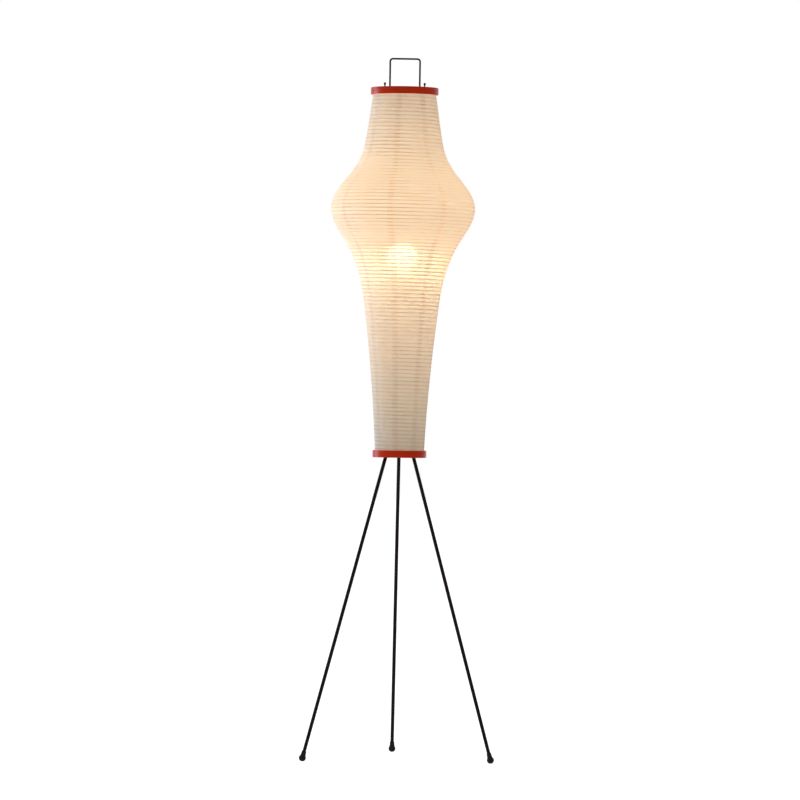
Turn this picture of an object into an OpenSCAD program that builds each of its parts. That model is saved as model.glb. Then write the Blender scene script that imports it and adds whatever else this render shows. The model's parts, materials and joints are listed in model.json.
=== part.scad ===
// Paper lantern floor lamp: a ribbed paper shade stretched between two lacquered hoops
// over a wire frame, with a screw-in bulb, on three splayed rods with rubber feet.
// Millimetres. +Z is up, and the origin is on the floor under the lamp's axis.

/* [Legs and feet] */
// Radius of the circle that the three feet stand on
foot_circle_r = 241; // [210:1:270]
// Distance of each leg's axis from the lamp's axis at the mouth of its sleeve
leg_top_r = 36; // [34:0.5:37]
// Diameter of a leg rod
leg_d = 8; // [7.5:0.5:9]
// Diameter of the ball of a rubber foot
foot_ball_d = 16; // [15:0.5:20]
// Diameter of a foot where its neck starts on the rod
foot_neck_d = 10.4; // [10:0.2:13]
// Length of a foot's neck, from its start to the middle of the ball
foot_neck_length = 16; // [12:1:24]
// Depth of the small flat that a foot rests on
foot_flat_depth = 0.4; // [0.3:0.1:0.8]
// Rubber between the end of the rod and the middle of the ball
foot_end_rubber = 1; // [0:0.5:3]

/* [Leg screws] */
// Diameter of the stud that screws a leg into the hub
stud_d = 6; // [5:0.5:6]
// Length of stud inside the hub's sleeve
stud_in_hub = 16; // [14:1:20]
// Length of stud inside the leg
stud_in_leg = 12; // [10:1:18]

/* [Hub] */
// Thickness of the hub plate
hub_t = 4; // [3:0.5:5]
// How far the hub plate reaches past the lower cross wires that rest on it
hub_margin = 5; // [3:0.5:6]
// Outside diameter of a leg sleeve
sleeve_d = 14; // [12:0.5:15]
// Length of a leg sleeve
sleeve_length = 24; // [22:1:28]
// How far the mouth of a sleeve stands below the hub plate, on its axis
sleeve_drop = 1.6; // [1.6:0.2:3]
// Diameter of the cord hole through the grommet
cord_hole_d = 7; // [5:0.5:8]
// Diameter of the hub hole that holds the grommet
grommet_hole_d = 12; // [11:0.5:14]
// Thickness of a grommet flange, above and below the plate
grommet_flange_t = 1.5; // [1:0.25:2]
// How far a grommet flange stands past its hole
grommet_flange_w = 2.5; // [1.5:0.5:4]

/* [Hoops] */
// Height of the lower hoop's underside above the floor
lower_ring_z = 675; // [640:1:710]
// Height of the upper hoop's underside above the floor
upper_ring_z = 1487; // [1450:1:1520]
// Outside diameter of the lower hoop
lower_ring_d = 121; // [118:1:126]
// Outside diameter of the upper hoop
upper_ring_d = 152; // [146:1:160]
// Height of the lower hoop
lower_ring_h = 16; // [14:1:20]
// Height of the upper hoop
upper_ring_h = 16; // [14:1:20]
// Wall of both hoops
ring_wall = 4.5; // [4:0.25:5.5]
// Rounding of the hoops' edges
ring_round = 1.2; // [0.8:0.2:1.8]
// Diameter of the cross wires in the hoops
cross_wire_d = 2.4; // [2:0.2:3]
// How far a cross wire's end goes into the hoop's wall
cross_wire_bite = 2.5; // [1.5:0.25:2.75]
// Distance from an upright's axis out to a lower cross wire
lower_wire_offset = 7.6; // [7:0.2:9]
// Distance from the upper hoop's top edge down to its cross wires
upper_wire_drop = 4; // [3:0.5:6]

/* [Wire frame] */
// Diameter of the frame wire
frame_wire_d = 4; // [3.5:0.25:4.5]
// Distance between the axes of the two uprights
upright_spacing = 66.8; // [66.5:0.1:68]
// Height of the frame's top above the upper hoop
bail_rise = 67; // [50:1:90]
// Bend radius of the frame's two top corners
bail_bend_r = 6; // [5:0.5:12]
// Diameter of the hook wire
hook_wire_d = 3; // [2.5:0.25:3.5]
// Distance from the lamp's axis to a hook's tip
hook_reach = 44.6; // [44.5:0.1:48]
// Bend radius of a hook
hook_bend_r = 6; // [5:0.5:7]
// Height of a hook's tip above the upper hoop
hook_tip_rise = 12; // [6:1:20]
// Width across the flats of a frame nut
frame_nut_af = 7; // [7:0.5:8]
// Thickness of the frame nut above the hub plate
frame_nut_h = 3.2; // [2.5:0.1:4]
// Thickness of the thin frame nut under the hub plate
thin_nut_h = 2.2; // [1.8:0.1:2.4]

/* [Lampholder] */
// Height of the bridge's top face above the floor
bridge_z = 1030; // [1000:1:1060]
// Thickness of the bridge strip
bridge_t = 2; // [1.5:0.25:3]
// Width of the bridge strip
bridge_w = 12; // [11:0.5:14]
// Outside diameter of the collars that grip the uprights
collar_d = 8; // [7.5:0.25:9]
// Height of the collars
collar_h = 8; // [6:0.5:10]
// Diameter of the grub screws in the collars
grub_screw_d = 3; // [2.5:0.25:3.5]
// Outside diameter of the threaded nipple
nipple_d = 10; // [9:0.5:10.5]
// Bore of the nipple
nipple_bore_d = 7; // [6:0.25:7.5]
// Width across the flats of the nipple nut
nipple_nut_af = 14; // [13.5:0.5:17]
// Thickness of the nipple nut
nipple_nut_h = 3; // [2.5:0.5:4]
// Outside diameter of the lampholder
holder_d = 40; // [38:0.5:42]
// Outside diameter of the lampholder's foot
holder_foot_d = 28; // [25:1:34]
// Wall of the lampholder's shells
holder_wall = 2; // [1.5:0.25:2.5]
// Height of the lampholder's lower shell
holder_cap_h = 20; // [18:1:24]
// Height of the lampholder's upper shell
holder_skirt_h = 32; // [28:1:36]
// Height of the porcelain insert
insert_h = 8; // [7:0.5:10]
// Width of the ledge that the insert sits on
insert_ledge = 2; // [1.5:0.5:3]
// Height of the brass screw shell
screw_shell_h = 24; // [20:1:26]
// Wall of the brass screw shell
screw_shell_wall = 0.5; // [0.4:0.1:0.7]
// Diameter of the terminal screws
terminal_screw_d = 3; // [2.5:0.25:3.5]
// Distance between the two terminal screws
terminal_spacing = 22; // [20:1:24]

/* [Bulb] */
// Diameter of the bulb's screw cap
bulb_cap_d = 26.4; // [26:0.1:26.6]
// Height of the bulb's screw cap
bulb_cap_h = 27; // [24:1:28]
// Wall of the bulb's screw cap
bulb_cap_wall = 0.5; // [0.3:0.1:0.7]
// Diameter of the bulb's globe
bulb_d = 60; // [50:1:60]
// Length of the bulb from its contact to its top
bulb_length = 107; // [100:1:112]
// Wall of the bulb's glass
bulb_wall = 0.8; // [0.6:0.1:1.2]
// Diameter of the bulb's centre contact
bulb_contact_d = 9; // [8:0.5:10]
// Height of the glass stem inside the bulb
stem_h = 28; // [22:1:34]
// Width of the filament loop
filament_w = 20; // [14:1:26]

/* [Paper shade] */
// Thickness of the paper
paper_t = 0.6; // [0.5:0.1:1]
// How far the paper is tucked into each hoop
paper_tuck = 6; // [4:0.5:6]
// Radius of the shade at its waist, over the lampholder
waist_r = 86; // [80:1:92]
// Height of the waist above the floor
waist_z = 1030; // [1010:1:1050]
// Radius halfway up the flare below the belly
lower_flare_r = 113.5; // [105:0.5:120]
// Height of that halfway point above the floor
lower_flare_z = 1130; // [1120:1:1140]
// Radius of the belly, the widest part
belly_r = 162; // [150:1:172]
// Height of the belly above the floor
belly_z = 1232; // [1222:1:1242]
// Radius halfway up the flare above the belly
upper_flare_r = 124; // [116:0.5:130]
// Height of that halfway point above the floor
upper_flare_z = 1304; // [1298:1:1310]
// Radius of the shade at its neck
neck_r = 88; // [82:1:94]
// Height of the neck above the floor
neck_z = 1377; // [1365:1:1390]
// Distance between ribs along the paper
rib_pitch = 8.5; // [7.5:0.25:12]
// Width of a rib, against the paper
rib_w = 1.2; // [0.8:0.1:1.6]
// Thickness of a rib
rib_t = 1; // [0.8:0.1:1.4]
// How far the paper draws in between two ribs
paper_draw = 0.4; // [0.2:0.1:0.8]
// Number of paper gores round the shade
gore_count = 8; // [8]
// Direction of the first seam between gores, in degrees from +X
first_seam = 33; // [0:1:44]

/* [Hidden] */
$fn = 64;

// Clearances
running_gap = 0.05;    // radial, between a shaft or wire and its hole
face_gap = 0.1;        // between faces of two bodies that close on each other
soft_gap = 0.3;        // between the paper and what it is glued to
thread_gap = 0.1;      // radial, between the bulb's cap and the screw shell
blind_gap = 0.5;       // past the end of a wire or rod in a blind hole
cut = 1;               // how far a cutting tool runs past the face that it opens

// Directions of the legs, in degrees from +X
back_leg = 90;
left_leg = 210;
right_leg = 330;

// Hoops
lower_ring_r = lower_ring_d / 2;
upper_ring_r = upper_ring_d / 2;
lower_ring_top = lower_ring_z + lower_ring_h;
upper_ring_top = upper_ring_z + upper_ring_h;
cross_wire_r = cross_wire_d / 2;
upright_x = upright_spacing / 2;
lower_wire_x = upright_x + lower_wire_offset;
lower_wire_z = lower_ring_z + lower_ring_h / 2;
upper_wire_z = upper_ring_top - upper_wire_drop;

// Hub
hub_r = lower_wire_x + hub_margin;
hub_top = lower_wire_z - cross_wire_r - face_gap;
hub_bottom = hub_top - hub_t;

// Legs: each starts at its sleeve's mouth and runs down to the middle of its foot's ball
leg_top_z = hub_bottom - sleeve_drop;
foot_ball_r = foot_ball_d / 2;
foot_ball_z = foot_ball_r - foot_flat_depth;
leg_spread = foot_circle_r - leg_top_r;
leg_fall = leg_top_z - foot_ball_z;
leg_lean = atan(leg_spread / leg_fall);
leg_length = sqrt(pow(leg_spread, 2) + pow(leg_fall, 2));
rod_end = leg_length - foot_end_rubber;

// Wire frame
frame_wire_r = frame_wire_d / 2;
frame_wire_z = upper_ring_top + bail_rise - frame_wire_r;
frame_wire_bottom = hub_bottom - thin_nut_h;
hook_wire_r = hook_wire_d / 2;
hook_y = frame_wire_r + hook_wire_r + running_gap;
hook_z = upper_wire_z - cross_wire_r - hook_wire_r - face_gap;
upper_wire_x = (upright_x + frame_wire_r + hook_reach - hook_wire_r) / 2;

// Lampholder, from the bridge up
holder_r = holder_d / 2;
holder_inner_r = holder_r - holder_wall;
cap_top = bridge_z + holder_cap_h;
skirt_top = cap_top + holder_skirt_h;
insert_rise = 2;       // how far the insert stands above the lower shell
insert_z = cap_top - insert_h + insert_rise;
insert_top = insert_z + insert_h;
insert_r = holder_inner_r - face_gap;
shell_inner_r = bulb_cap_d / 2 + thread_gap;
nipple_r = nipple_d / 2;
nipple_tail = 3;       // thread left showing under the nipple nut
nipple_reach = 6;      // thread inside the lampholder
nipple_bottom = bridge_z - bridge_t - nipple_nut_h - nipple_tail;
nipple_top = bridge_z + holder_wall + nipple_reach;
centre_contact_t = 1;

// Bulb, seated on the centre contact
bulb_z = insert_top + centre_contact_t + face_gap;
bulb_contact_t = 1.3;
insulator_h = 3.4;
bulb_cap_r = bulb_cap_d / 2;
insulator_bite = 2;    // how far the insulator goes into the cap
bulb_cap_z = bulb_z + bulb_contact_t + insulator_h - insulator_bite;
bulb_cap_top = bulb_cap_z + bulb_cap_h;
bulb_r = bulb_d / 2;
globe_z = bulb_z + bulb_length - bulb_r;
bulb_neck_r = bulb_cap_r - bulb_cap_wall - face_gap;
glass_bite = 6;        // how far the glass goes into the cap
bulb_neck_z = bulb_cap_top - glass_bite;
stem_flare_h = 3;
stem_r = 4;
stem_top = bulb_neck_z + stem_h;
lead_r = 0.4;
filament_drop = 4;     // from the middle of the globe down to the filament
filament_z = globe_z - filament_drop;

// ---- Shared shapes ----

// Puts what follows on a leg's axis: its zero is the sleeve's mouth, and +Z runs down the leg
module on_leg(direction) {
    rotate([0, 0, direction])
        translate([leg_top_r, 0, leg_top_z])
            rotate([0, 180 - leg_lean, 0])
                children();
}

// A straight rod from one height to another
module rod(r, low, high) {
    translate([0, 0, low])
        cylinder(r = r, h = high - low);
}

// A tube from one height to another
module tube(outer_r, inner_r, low, high) {
    difference() {
        rod(outer_r, low, high);
        rod(inner_r, low - cut, high + cut);
    }
}

// A hexagon nut from one height to another
module hex_nut(af, hole_r, low, high) {
    difference() {
        translate([0, 0, low])
            cylinder(d = af / cos(30), h = high - low, $fn = 6);
        rod(hole_r, low - cut, high + cut);
    }
}

// A rectangle with round corners, standing on its lower left corner
module round_rectangle(w, h, r) {
    translate([r, 0])
        square([w - 2 * r, h]);
    translate([0, r])
        square([w, h - 2 * r]);
    for (x = [r, w - r])
        for (y = [r, h - r])
            translate([x, y])
                circle(r = r, $fn = 32);
}

// Half of the length of a cross wire whose ends go into a hoop's wall
function cross_wire_end(ring_r, x) = sqrt(pow(ring_r - ring_wall + cross_wire_bite, 2) - pow(x, 2));

// A pair of wires that run from front to back through a hoop, one on each side of the axis
module wire_pair(r, x, z, half_length) {
    for (side = [-1, 1])
        translate([side * x, half_length, z])
            rotate([90, 0, 0])
                cylinder(r = r, h = 2 * half_length, $fn = 24);
}

module hoop(ring_r, ring_z, ring_h, wire_x, wire_z) {
    color("firebrick")
        difference() {
            rotate_extrude($fn = 128)
                translate([ring_r - ring_wall, ring_z])
                    round_rectangle(ring_wall, ring_h, ring_round);
            wire_pair(cross_wire_r + running_gap, wire_x, wire_z,
                cross_wire_end(ring_r, wire_x) + blind_gap);
        }
}

module cross_wires(ring_r, wire_x, wire_z) {
    color("dimgray")
        wire_pair(cross_wire_r, wire_x, wire_z, cross_wire_end(ring_r, wire_x));
}

// ---- Legs ----

module foot(direction) {
    color("black")
        difference() {
            on_leg(direction)
                difference() {
                    union() {
                        translate([0, 0, leg_length])
                            sphere(r = foot_ball_r, $fn = 48);
                        translate([0, 0, leg_length - foot_neck_length])
                            cylinder(d1 = foot_neck_d, d2 = 0.92 * foot_ball_d, h = foot_neck_length - 2);
                    }
                    rod(leg_d / 2 + running_gap, leg_length - foot_neck_length - cut, rod_end + face_gap);
                }
            rotate([0, 0, direction])
                translate([foot_circle_r, 0, -foot_ball_d])
                    cylinder(d = 3 * foot_ball_d, h = foot_ball_d);
        }
}

module leg(direction) {
    color("#1a1310")
        on_leg(direction)
            difference() {
                rod(leg_d / 2, face_gap, rod_end);
                rod(stud_d / 2 + running_gap, -cut, stud_in_leg + blind_gap);
            }
}

module leg_stud(direction) {
    color("silver")
        on_leg(direction)
            rod(stud_d / 2, -stud_in_hub, stud_in_leg);
}

module foot_back() { foot(back_leg); }
module foot_left() { foot(left_leg); }
module foot_right() { foot(right_leg); }
module leg_back() { leg(back_leg); }
module leg_left() { leg(left_leg); }
module leg_right() { leg(right_leg); }
module leg_stud_back() { leg_stud(back_leg); }
module leg_stud_left() { leg_stud(left_leg); }
module leg_stud_right() { leg_stud(right_leg); }

// ---- Hub and wire frame ----

module leg_hub() {
    color("#1a1310")
        difference() {
            union() {
                rod(hub_r, hub_bottom, hub_top);
                for (direction = [back_leg, left_leg, right_leg])
                    on_leg(direction)
                        rod(sleeve_d / 2, -sleeve_length, 0);
            }
            for (direction = [back_leg, left_leg, right_leg])
                on_leg(direction)
                    rod(stud_d / 2 + running_gap, -sleeve_length - cut, cut);
            for (side = [-1, 1])
                translate([side * upright_x, 0, 0])
                    rod(frame_wire_r + running_gap, hub_bottom - cut, hub_top + cut);
            rod(grommet_hole_d / 2, hub_bottom - cut, hub_top + cut);
        }
}

module cord_grommet() {
    flange_r = grommet_hole_d / 2 + grommet_flange_w;
    color("black")
        difference() {
            union() {
                rod(flange_r, hub_bottom - grommet_flange_t, hub_bottom);
                rod(grommet_hole_d / 2 - running_gap, hub_bottom, hub_top);
                rod(flange_r, hub_top, hub_top + grommet_flange_t);
            }
            rod(cord_hole_d / 2, hub_bottom - grommet_flange_t - cut, hub_top + grommet_flange_t + cut);
        }
}

module frame_wire() {
    bend_x = upright_x - bail_bend_r;
    bend_z = frame_wire_z - bail_bend_r;
    color("#1a1310") {
        for (side = [-1, 1]) {
            translate([side * upright_x, 0, 0])
                rod(frame_wire_r, frame_wire_bottom, bend_z);
            translate([side * bend_x, 0, bend_z])
                rotate([90, 0, 0])
                    rotate([0, 0, side > 0 ? 0 : 90])
                        rotate_extrude(angle = 90)
                            translate([bail_bend_r, 0])
                                circle(r = frame_wire_r, $fn = 32);
        }
        translate([-bend_x, 0, frame_wire_z])
            rotate([0, 90, 0])
                cylinder(r = frame_wire_r, h = 2 * bend_x);
    }
}

module frame_nuts() {
    color("silver")
        for (side = [-1, 1])
            translate([side * upright_x, 0, 0]) {
                hex_nut(frame_nut_af, frame_wire_r + running_gap, hub_top, hub_top + frame_nut_h);
                hex_nut(frame_nut_af, frame_wire_r + running_gap, frame_wire_bottom, hub_bottom);
            }
}

// One wire behind the uprights, turned up at both ends under the upper cross wires
module ring_hooks() {
    bend_x = hook_reach - hook_bend_r;
    bend_z = hook_z + hook_bend_r;
    color("#1a1310")
        translate([0, hook_y, 0]) {
            translate([-bend_x, 0, hook_z])
                rotate([0, 90, 0])
                    cylinder(r = hook_wire_r, h = 2 * bend_x);
            for (side = [-1, 1]) {
                translate([side * bend_x, 0, bend_z])
                    rotate([90, 0, 0])
                        rotate([0, 0, side > 0 ? 270 : 180])
                            rotate_extrude(angle = 90)
                                translate([hook_bend_r, 0])
                                    circle(r = hook_wire_r, $fn = 32);
                translate([side * hook_reach, 0, 0])
                    rod(hook_wire_r, bend_z, upper_ring_top + hook_tip_rise);
            }
        }
}

// ---- Lampholder ----

module holder_bridge() {
    low = bridge_z - bridge_t;
    collar_low = bridge_z - bridge_t / 2 - collar_h / 2;
    color("#1a1310")
        difference() {
            union() {
                translate([-upright_x, -bridge_w / 2, low])
                    cube([upright_spacing, bridge_w, bridge_t]);
                for (side = [-1, 1])
                    translate([side * upright_x, 0, 0])
                        rod(collar_d / 2, collar_low, collar_low + collar_h);
            }
            for (side = [-1, 1])
                translate([side * upright_x, 0, 0]) {
                    rod(frame_wire_r + running_gap, collar_low - cut, collar_low + collar_h + cut);
                    grub_screw(grub_screw_d / 2 + running_gap, 2 * collar_d);
                }
            rod(nipple_r + running_gap, low - cut, bridge_z + cut);
        }
}

// A grub screw from the front, with its tip against the upright
module grub_screw(r, length) {
    grub_z = bridge_z + (collar_h - bridge_t) / 4;
    translate([0, -frame_wire_r - face_gap, grub_z])
        rotate([90, 0, 0])
            cylinder(r = r, h = length, $fn = 24);
}

module bridge_grub_screws() {
    color("silver")
        for (side = [-1, 1])
            translate([side * upright_x, 0, 0])
                grub_screw(grub_screw_d / 2, collar_d / 2 - frame_wire_r);
}

module holder_nipple() {
    color("silver")
        tube(nipple_r, nipple_bore_d / 2, nipple_bottom, nipple_top);
}

module nipple_nut() {
    low = bridge_z - bridge_t - nipple_nut_h;
    color("silver")
        hex_nut(nipple_nut_af, nipple_r + running_gap, low, bridge_z - bridge_t);
}

// The lower shell: a cup that widens to the lampholder's diameter, with a ledge for the insert
module lampholder_cap() {
    foot_r = holder_foot_d / 2;
    shoulder_z = bridge_z + holder_cap_h / 2;
    ledge_r = holder_inner_r - insert_ledge;
    color("#1c1c1c")
        rotate_extrude()
            polygon([
                [nipple_r + running_gap, bridge_z],
                [foot_r, bridge_z],
                [holder_r, shoulder_z],
                [holder_r, cap_top],
                [holder_inner_r, cap_top],
                [holder_inner_r, insert_z],
                [ledge_r, insert_z],
                [ledge_r, shoulder_z],
                [foot_r - holder_wall, bridge_z + holder_wall],
                [nipple_r + running_gap, bridge_z + holder_wall]
            ]);
}

module lampholder_skirt() {
    color("#1c1c1c")
        tube(holder_r, holder_inner_r, cap_top, skirt_top);
}

module lampholder_insert() {
    color("ivory")
        difference() {
            rod(insert_r, insert_z, insert_top);
            for (side = [-1, 1])
                translate([side * terminal_spacing / 2, 0, 0])
                    rod(terminal_screw_d / 2 + running_gap, insert_z - cut, insert_top - 2);
        }
}

module terminal_screws() {
    head_h = 1.8;
    color("goldenrod")
        for (side = [-1, 1])
            translate([side * terminal_spacing / 2, 0, 0]) {
                rod(terminal_screw_d / 2, insert_z, insert_top - 2 - face_gap);
                rod(terminal_screw_d * 0.9, insert_z - head_h, insert_z);
            }
}

module lampholder_screw_shell() {
    color("goldenrod")
        tube(shell_inner_r + screw_shell_wall, shell_inner_r, insert_top, insert_top + screw_shell_h);
}

module lampholder_contact() {
    color("goldenrod")
        rod(bulb_contact_d / 2, insert_top, insert_top + centre_contact_t);
}

// ---- Bulb ----

module bulb_contact() {
    color("silver")
        rod(bulb_contact_d / 2, bulb_z, bulb_z + bulb_contact_t);
}

module bulb_insulator() {
    low = bulb_z + bulb_contact_t + face_gap;
    color("black")
        translate([0, 0, low])
            cylinder(r1 = bulb_contact_d / 2 + 1, r2 = bulb_cap_r - bulb_cap_wall - face_gap, h = insulator_h);
}

module bulb_cap() {
    color("silver")
        tube(bulb_cap_r, bulb_cap_r - bulb_cap_wall, bulb_cap_z, bulb_cap_top);
}

// Half outline of the bulb, drawn in by inset: a straight neck, a cone and a round globe
module bulb_outline(inset) {
    r = bulb_r - inset;
    neck_r = bulb_neck_r - inset;
    to_globe = sqrt(pow(neck_r, 2) + pow(globe_z - bulb_cap_top, 2));
    side = sqrt(pow(to_globe, 2) - pow(r, 2));
    slope = atan2(globe_z - bulb_cap_top, -neck_r) - asin(r / to_globe);
    intersection() {
        translate([0, bulb_neck_z - cut])
            square([bulb_d, bulb_length]);
        union() {
            translate([0, globe_z])
                circle(r = r, $fn = 96);
            polygon([
                [0, bulb_neck_z - cut],
                [neck_r, bulb_neck_z - cut],
                [neck_r, bulb_cap_top],
                [neck_r + side * cos(slope), bulb_cap_top + side * sin(slope)],
                [0, globe_z]
            ]);
        }
    }
}

module bulb_glass() {
    color([1, 1, 0.9, 0.5])
        difference() {
            rotate_extrude($fn = 96)
                bulb_outline(0);
            rotate_extrude($fn = 96)
                bulb_outline(bulb_wall);
            rod(bulb_r, bulb_neck_z - 2 * cut, bulb_neck_z);
        }
}

// The glass mount of the filament, whose flare closes the bulb's neck
module bulb_stem() {
    color([1, 1, 0.9, 0.5]) {
        rod(bulb_neck_r - bulb_wall - face_gap, bulb_neck_z, bulb_neck_z + stem_flare_h);
        rod(stem_r, bulb_neck_z + stem_flare_h, stem_top);
    }
}

// Two lead wires that stand on the stem and hold a level filament between them
module bulb_filament() {
    lead_x = stem_r - 2 * lead_r;
    lead_h = filament_z - stem_top;
    spread = filament_w / 2 - lead_x;
    lead_lean = atan(spread / lead_h);
    color("gold") {
        for (side = [-1, 1])
            translate([side * lead_x, 0, stem_top + lead_r])
                rotate([0, side * lead_lean, 0])
                    cylinder(r = lead_r, h = sqrt(pow(spread, 2) + pow(lead_h, 2)) - lead_r, $fn = 16);
        translate([-filament_w / 2, 0, filament_z])
            rotate([0, 90, 0])
                cylinder(r = 2 * lead_r, h = filament_w, $fn = 16);
    }
}

// ---- Hoops ----

module lower_ring() {
    hoop(lower_ring_r, lower_ring_z, lower_ring_h, lower_wire_x, lower_wire_z);
}

module lower_cross_wires() {
    cross_wires(lower_ring_r, lower_wire_x, lower_wire_z);
}

module upper_ring() {
    hoop(upper_ring_r, upper_ring_z, upper_ring_h, upper_wire_x, upper_wire_z);
}

module upper_cross_wires() {
    cross_wires(upper_ring_r, upper_wire_x, upper_wire_z);
}

// ---- Paper shade ----

// The shade's outline is a smooth curve through these stations: height, radius, slope
shade_low_r = lower_ring_r - ring_wall - soft_gap;
shade_top_r = upper_ring_r - ring_wall - soft_gap;
waist_slope = (lower_flare_r - shade_low_r) / (lower_flare_z - lower_ring_top);
lower_flare_slope = 1.13 * (belly_r - waist_r) / (belly_z - waist_z);
upper_flare_slope = 1.65 * (neck_r - belly_r) / (neck_z - belly_z);
neck_slope = (shade_top_r - neck_r) / (upper_ring_z - neck_z);
stations = [
    [lower_ring_top, shade_low_r, waist_slope / 3],
    [waist_z, waist_r, waist_slope],
    [lower_flare_z, lower_flare_r, lower_flare_slope],
    [belly_z, belly_r, 0],
    [upper_flare_z, upper_flare_r, upper_flare_slope],
    [neck_z, neck_r, neck_slope * 1.2],
    [upper_ring_z, shade_top_r, neck_slope]
];
last_station = len(stations) - 1;

// The station below a height
function station_below(z, i = 0) = i < last_station - 1 && z > stations[i + 1][0] ? station_below(z, i + 1) : i;

// Cubic from station a to station b, at the fraction t of the height between them
function blend(a, b, t) =
    let (h = b[0] - a[0])
    a[1] * (1 + 2 * t) * pow(1 - t, 2) + b[1] * pow(t, 2) * (3 - 2 * t)
        + h * a[2] * t * pow(1 - t, 2) - h * b[2] * pow(t, 2) * (1 - t);

// Radius of the paper at a height, before it draws in between the ribs
function shade_r(z) =
    let (i = station_below(z), a = stations[i], b = stations[i + 1])
    blend(a, b, (z - a[0]) / (b[0] - a[0]));

// Length along the paper up to each of many heights
length_steps = 240;
shade_h = upper_ring_z - lower_ring_top;
function step_z(i) = lower_ring_top + shade_h * i / length_steps;
function step_length(i) = norm([step_z(i + 1) - step_z(i), shade_r(step_z(i + 1)) - shade_r(step_z(i))]);
heights_by_length = [
    for (i = 0, s = 0; i <= length_steps; s = s + step_length(min(i, length_steps - 1)), i = i + 1)
        [s, step_z(i)]
];
shade_length = heights_by_length[length_steps][0];
rib_gaps = round(shade_length / rib_pitch);

// The paper's outline has a point at each rib and one halfway to the next, k half pitches up
function outline_z(k) = lookup(shade_length * k / (2 * rib_gaps), heights_by_length);
function outline_slope(z) = (shade_r(z + 0.5) - shade_r(z - 0.5));
function outline_normal(z) = let (s = outline_slope(z)) [1, -s] / norm([1, s]);
function outline_point(k, depth) =
    let (z = outline_z(k), drawn = k % 2 == 1 ? paper_draw : 0)
    [shade_r(z), z] - (depth + drawn) * outline_normal(z);

module paper_gore(i) {
    points = 2 * rib_gaps;
    outer = [for (k = [1 : points - 1]) outline_point(k, 0)];
    inner = [for (k = [points - 1 : -1 : 1]) outline_point(k, paper_t)];
    color("antiquewhite")
        rotate([0, 0, first_seam + i * 360 / gore_count])
            rotate_extrude(angle = 360 / gore_count)
                polygon(concat(
                    [[shade_low_r, lower_ring_top - paper_tuck], [shade_low_r, lower_ring_top]],
                    outer,
                    [[shade_top_r, upper_ring_z], [shade_top_r, upper_ring_z + paper_tuck]],
                    [[shade_top_r - paper_t, upper_ring_z + paper_tuck], [shade_top_r - paper_t, upper_ring_z]],
                    inner,
                    [[shade_low_r - paper_t, lower_ring_top], [shade_low_r - paper_t, lower_ring_top - paper_tuck]]
                ));
}

module paper_gore_1() { paper_gore(0); }
module paper_gore_2() { paper_gore(1); }
module paper_gore_3() { paper_gore(2); }
module paper_gore_4() { paper_gore(3); }
module paper_gore_5() { paper_gore(4); }
module paper_gore_6() { paper_gore(5); }
module paper_gore_7() { paper_gore(6); }
module paper_gore_8() { paper_gore(7); }

// Flat strips bent round inside the paper, one at each rib
module shade_ribs() {
    depth = paper_t + soft_gap + rib_t / 2;
    color("tan")
        for (k = [2 : 2 : 2 * rib_gaps - 2])
            let (z = outline_z(k), turn = -atan(outline_slope(z)))
                rotate_extrude($fn = 128)
                    translate(outline_point(k, depth))
                        rotate(turn)
                            square([rib_t, rib_w], center = true);
}

foot_back();
foot_left();
foot_right();
leg_back();
leg_left();
leg_right();
leg_stud_back();
leg_stud_left();
leg_stud_right();
leg_hub();
cord_grommet();
frame_wire();
frame_nuts();
ring_hooks();
holder_bridge();
bridge_grub_screws();
holder_nipple();
nipple_nut();
lampholder_cap();
lampholder_skirt();
lampholder_insert();
lampholder_screw_shell();
lampholder_contact();
terminal_screws();
bulb_contact();
bulb_insulator();
bulb_cap();
bulb_glass();
bulb_stem();
bulb_filament();
lower_ring();
lower_cross_wires();
upper_ring();
upper_cross_wires();
paper_gore_1();
paper_gore_2();
paper_gore_3();
paper_gore_4();
paper_gore_5();
paper_gore_6();
paper_gore_7();
paper_gore_8();
shade_ribs();
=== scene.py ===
"""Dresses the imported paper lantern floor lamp: paper, lacquer, enamel and glass around the CAD frame."""

import json
import math

import bmesh
import bpy
from bpy.props import FloatProperty, FloatVectorProperty, IntProperty, PointerProperty
from mathutils import Matrix, Vector


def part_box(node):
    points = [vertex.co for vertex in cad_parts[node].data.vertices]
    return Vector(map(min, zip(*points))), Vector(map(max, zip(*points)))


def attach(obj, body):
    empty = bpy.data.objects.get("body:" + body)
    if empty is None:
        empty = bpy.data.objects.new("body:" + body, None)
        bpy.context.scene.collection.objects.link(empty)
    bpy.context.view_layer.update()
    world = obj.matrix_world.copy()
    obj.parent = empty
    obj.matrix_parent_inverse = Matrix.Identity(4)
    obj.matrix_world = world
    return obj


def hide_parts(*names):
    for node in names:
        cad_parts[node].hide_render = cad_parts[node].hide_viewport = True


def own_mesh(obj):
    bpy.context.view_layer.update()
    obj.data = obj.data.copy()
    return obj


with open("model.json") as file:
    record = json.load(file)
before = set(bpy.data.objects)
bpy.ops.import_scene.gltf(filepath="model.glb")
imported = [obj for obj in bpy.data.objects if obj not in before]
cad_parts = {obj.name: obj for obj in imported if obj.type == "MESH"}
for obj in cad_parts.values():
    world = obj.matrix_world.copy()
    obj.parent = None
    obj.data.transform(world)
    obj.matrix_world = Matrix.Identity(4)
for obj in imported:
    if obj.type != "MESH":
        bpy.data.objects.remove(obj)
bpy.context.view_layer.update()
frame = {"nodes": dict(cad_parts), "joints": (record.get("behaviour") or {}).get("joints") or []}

bl_info = {
    "name": "Paper Lantern Floor Lamp",
    "version": (1, 0, 0),
    "blender": (4, 5, 0),
    "location": "3D View > Sidebar > Lantern",
    "description": "Builds the pieces and finishes of a paper lantern on three splayed legs",
    "category": "Object",
}

JOINTS = {joint["name"]: joint for joint in frame["joints"]}
MM = 0.001

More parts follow.
